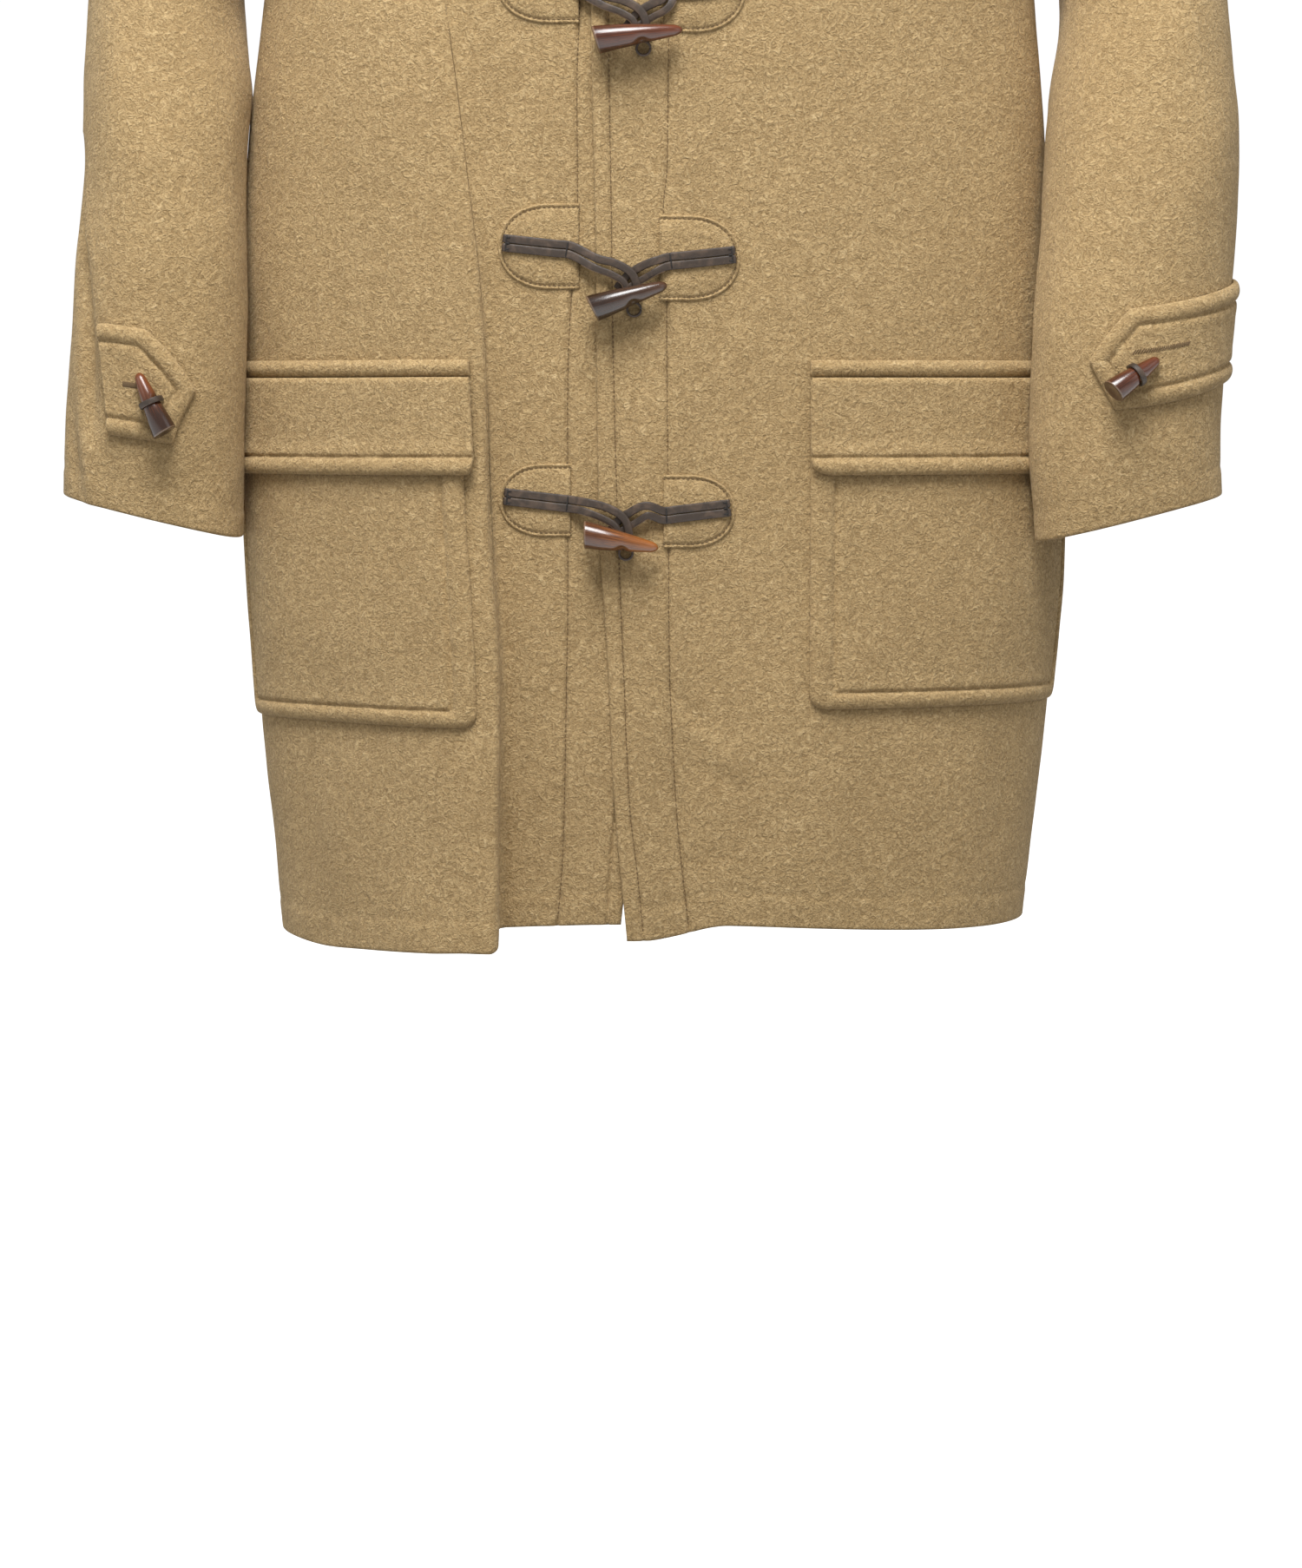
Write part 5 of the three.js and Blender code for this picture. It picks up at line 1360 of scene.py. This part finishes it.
def addCuff(side):
    tab = cuffTabs[side]
    look = cuffLook
    v = tabPlaces(57, (0.006, 0.014, 0.5, 0.986, 0.994))
    u = tabPlaces(tab["columns"], (0.99, 0.996))
    uu, vv = np.meshgrid(u, v)
    angle, z = tabPlace(tab, uu, vv)
    bare = cuffPoint(side, angle, z, 0.0)
    border = np.concatenate((bare[0], bare[1:, -1], bare[-1, ::-1][1:]))
    distance = np.full(bare.shape[:2], 1e9)
    for point in border:
        distance = np.minimum(distance, np.linalg.norm(bare - point, axis=-1))
    relief = roundOff(distance, look["round"], look["thickness"])
    relief += rimSwell(distance, look["swell"]) + sewnRelief(distance - look["stitch"], z)
    outer = cuffPoint(side, angle, z, look["gap"] + look["thickness"] + relief)
    inner = cuffPoint(side, angle, z, look["gap"])
    obj = shell("cuff_tab_" + side, outer, inner)
    printCut("cuff tab " + side, bare, runAlong(bare, 1)[len(v) // 2, -1], runAlong(bare, 0)[-1, 0])
    fromPart, toPart, low = tab["hole"]
    for part in np.linspace(fromPart, toPart, look["holeCount"]):
        between = np.array((low - look["holeHalf"], low + look["holeHalf"]))
        angle, z = tabPlace(tab, np.array((part, part)), between)
        ends = cuffPoint(side, angle, z, look["gap"] + look["thickness"] + look["threadLift"])
        holeThreads.append(tuple(ends))
    turn = math.radians(tab["toggleTurn"])
    out = cuffNormal(side, turn, tab["toggleZ"])
    centre = cuffPoint(side, turn, tab["toggleZ"], look["gap"] + look["thickness"] + tab["onTab"])
    lean = np.array(tab["lean"])
    axis = unit(lean - out * np.dot(lean, out))
    axis = unit(axis + out * ((cuffToggle["tip"] - cuffToggle["butt"]) / tab["length"] - tab["sink"]))
    butt, tip = centre - axis * tab["length"] / 2, centre + axis * tab["length"] / 2
    across = unit(np.cross(axis, out))
    up = np.cross(across, axis)
    notchSide = across * 0.8 + up * 0.5
    horn = toggleMesh("cuff_toggle_" + side, butt, tip, up, cuffToggle, tab["horn"], notchSide)
    radius = mix(cuffToggle["butt"], cuffToggle["tip"], 0.5 ** 1.25) + look["loopClear"]
    middle = centre + up * cuffToggle["bow"]
    turns = np.radians(np.linspace(-90, 90, 31))
    ways = up * np.cos(turns)[:, None] + across * np.sin(turns)[:, None]
    arc = middle + ways * radius
    leg = out * (tab["rooted"] - cuffToggle["bow"] - tab["onTab"])
    legs = np.linspace(1, 0, 9)[:-1, None]
    path = np.concatenate((arc[0] + leg * legs, arc, arc[-1] + leg * legs[::-1]))
    faced = np.concatenate((np.repeat(ways[:1], 8, 0), ways, np.repeat(ways[-1:], 8, 0)))
    widths = np.full(len(path), look["loopWidth"])
    points, faces = closedRings(bandMesh(path, faced, widths, look["loopThickness"]))
    loop = meshOf("cuff_loop_" + side, points, faces, "leather")
    return obj, horn, loop


cuffPieces = {side: addCuff(side) for side in ("left", "right")}
print("cuffs made")


# Thread: strokes across the straps, buttonholes, and stitches along the sewn lines

def rod(a, b, radius, sides=6):
    path = np.array([mix(a, b, part) for part in (0, 0.15, 0.5, 0.85, 1)])
    ahead = unit(b - a)
    side = unit(np.cross(ahead, np.array((0.2, 0.9, 0.3))))
    up = np.cross(side, ahead)
    size = radius * np.array((0.45, 0.95, 1, 0.95, 0.45))
    angle = np.linspace(0, 2 * np.pi, sides + 1)[:-1]
    ring = path[:, None] + (side[None, None] * np.cos(angle)[None, :, None]
                            + up[None, None] * np.sin(angle)[None, :, None]) * size[:, None, None]
    return closedRings(ring)


threadRadius = dict(stroke=0.55, hole=0.38)
strokePoints, strokeFaces = joined([rod(a, b, threadRadius["stroke"]) for a, b in crossbars])
strokes = meshOf("strap_stitches", strokePoints, strokeFaces, "darkThread")
holePoints, holeFaces = joined([rod(a, b, threadRadius["hole"]) for a, b in holeThreads])
holes = meshOf("buttonhole_threads", holePoints, holeFaces, "woolThread")
edgePoints, edgeFaces = joined(rawEdges)
rawEdge = meshOf("strap_edges", edgePoints, edgeFaces, "rawEdge")


def sewnPath(side, line, low, high, lift=-0.75):
    z = np.arange(low, high, 4.0)
    return frontPoint(side, along(sewnLines[line], "z", "x", z), z, lift)


stitchPaths.append(sewnPath("right", "rightEdge", -928, -86))
stitchPaths.append(sewnPath("right", "rightPlacket", -924, -86))
stitchPaths.append(sewnPath("left", "leftPlacket", -920, -60))


def stitchTree():
    tree = bpy.data.node_groups.new("stitches", "GeometryNodeTree")
    face = tree.interface
    face.new_socket("Geometry", in_out="INPUT", socket_type="NodeSocketGeometry")
    pitch = face.new_socket("Pitch", in_out="INPUT", socket_type="NodeSocketFloat")
    longer = face.new_socket("Length", in_out="INPUT", socket_type="NodeSocketFloat")
    thick = face.new_socket("Thickness", in_out="INPUT", socket_type="NodeSocketFloat")
    finish = face.new_socket("Thread", in_out="INPUT", socket_type="NodeSocketMaterial")
    face.new_socket("Geometry", in_out="OUTPUT", socket_type="NodeSocketGeometry")
    new = tree.nodes.new
    given, result = new("NodeGroupInput"), new("NodeGroupOutput")
    curve, even = new("GeometryNodeMeshToCurve"), new("GeometryNodeResampleCurve")
    even.mode = "LENGTH"
    tangent, aim = new("GeometryNodeInputTangent"), new("FunctionNodeAlignRotationToVector")
    aim.axis = "X"
    bead, place = new("GeometryNodeMeshIcoSphere"), new("GeometryNodeInstanceOnPoints")
    bead.inputs["Radius"].default_value = 1
    bead.inputs["Subdivisions"].default_value = 1
    size, solid = new("ShaderNodeCombineXYZ"), new("GeometryNodeRealizeInstances")
    paint = new("GeometryNodeSetMaterial")
    for source, output, target, into in (
        (given, "Geometry", curve, "Mesh"), (curve, "Curve", even, "Curve"),
        (given, "Pitch", even, "Length"), (tangent, "Tangent", aim, "Vector"),
        (given, "Length", size, "X"), (given, "Thickness", size, "Y"), (given, "Thickness", size, "Z"),
        (even, "Curve", place, "Points"), (bead, "Mesh", place, "Instance"),
        (aim, "Rotation", place, "Rotation"), (size, "Vector", place, "Scale"),
        (place, "Instances", solid, "Geometry"), (solid, "Geometry", paint, "Geometry"),
        (given, "Thread", paint, "Material"), (paint, "Geometry", result, "Geometry"),
    ):
        tree.links.new(source.outputs[output], target.inputs[into])
    return tree, dict(pitch=pitch.identifier, length=longer.identifier, thickness=thick.identifier,
                      thread=finish.identifier)


stitch = dict(pitch=3.3, length=1.25, thickness=0.34)


def addStitches():
    points, lines, base = [], [], 0
    for path in stitchPaths:
        points.append(path)
        lines += [(base + i, base + i + 1) for i in range(len(path) - 1)]
        base += len(path)
    mesh = bpy.data.meshes.new("stitch_lines")
    mesh.from_pydata((np.concatenate(points) * mm).tolist(), lines, [])
    guide = bpy.data.objects.new("stitch_lines", mesh)
    scene.collection.objects.link(guide)
    tree, names = stitchTree()
    modifier = guide.modifiers.new("stitches", "NODES")
    modifier.node_group = tree
    for key in ("pitch", "length", "thickness"):
        modifier[names[key]] = stitch[key] * mm
    modifier[names["thread"]] = materials["woolThread"]
    guide.update_tag()
    made = guide.evaluated_get(bpy.context.evaluated_depsgraph_get())
    result = bpy.data.objects.new("stitches", bpy.data.meshes.new_from_object(made))
    scene.collection.objects.link(result)
    bpy.data.objects.remove(guide)
    return result


stitches = addStitches()
print("stitches made:", len(stitches.data.polygons))


# What each piece stands for

def asCloth(obj, node):
    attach(obj, "root")
    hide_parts(node)


def asTrim(obj, node):
    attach(obj, "root")
    if node:
        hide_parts(node)


# Each piece hangs from the root, and the solid of the model that it stands for is hidden
asCloth(frontLeftPiece, "front_left")
asCloth(frontRightPiece, "front_right")
asCloth(backPiece, "back")
asCloth(hoodPiece, "hood")
for side in ("left", "right"):
    asCloth(sleevePieces[side], "sleeve_" + side)
    for obj, kind in zip(pocketPieces[side], ("pocket", "flap", "welt")):
        asCloth(obj, "%s_%s" % (kind, side))
    tab, horn, loop = cuffPieces[side]
    asCloth(tab, "cuff_tab_" + side)
    asTrim(horn, "cuff_toggle_" + side)
    asTrim(loop, "cuff_loop_" + side)
for number, (tongues, straps, horn) in enumerate(closurePieces, 1):
    for side, obj, band in zip(("left", "right"), tongues, straps):
        asCloth(obj, "patch_%s_%d" % (side, number))
        asTrim(band, "strap_%s_%d" % (side, number))
    asTrim(horn, "toggle_%d" % number)
asTrim(stitches, None)
asTrim(strokes, None)
asTrim(holes, None)
asTrim(rawEdge, None)

# The solids behind the pieces get the nearest finish.
for name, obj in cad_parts.items():
    slot = "leather" if "strap" in name or "loop" in name else "hornRed" if "toggle" in name else "wool"
    for materialSlot in obj.material_slots:
        materialSlot.material = materials[slot]
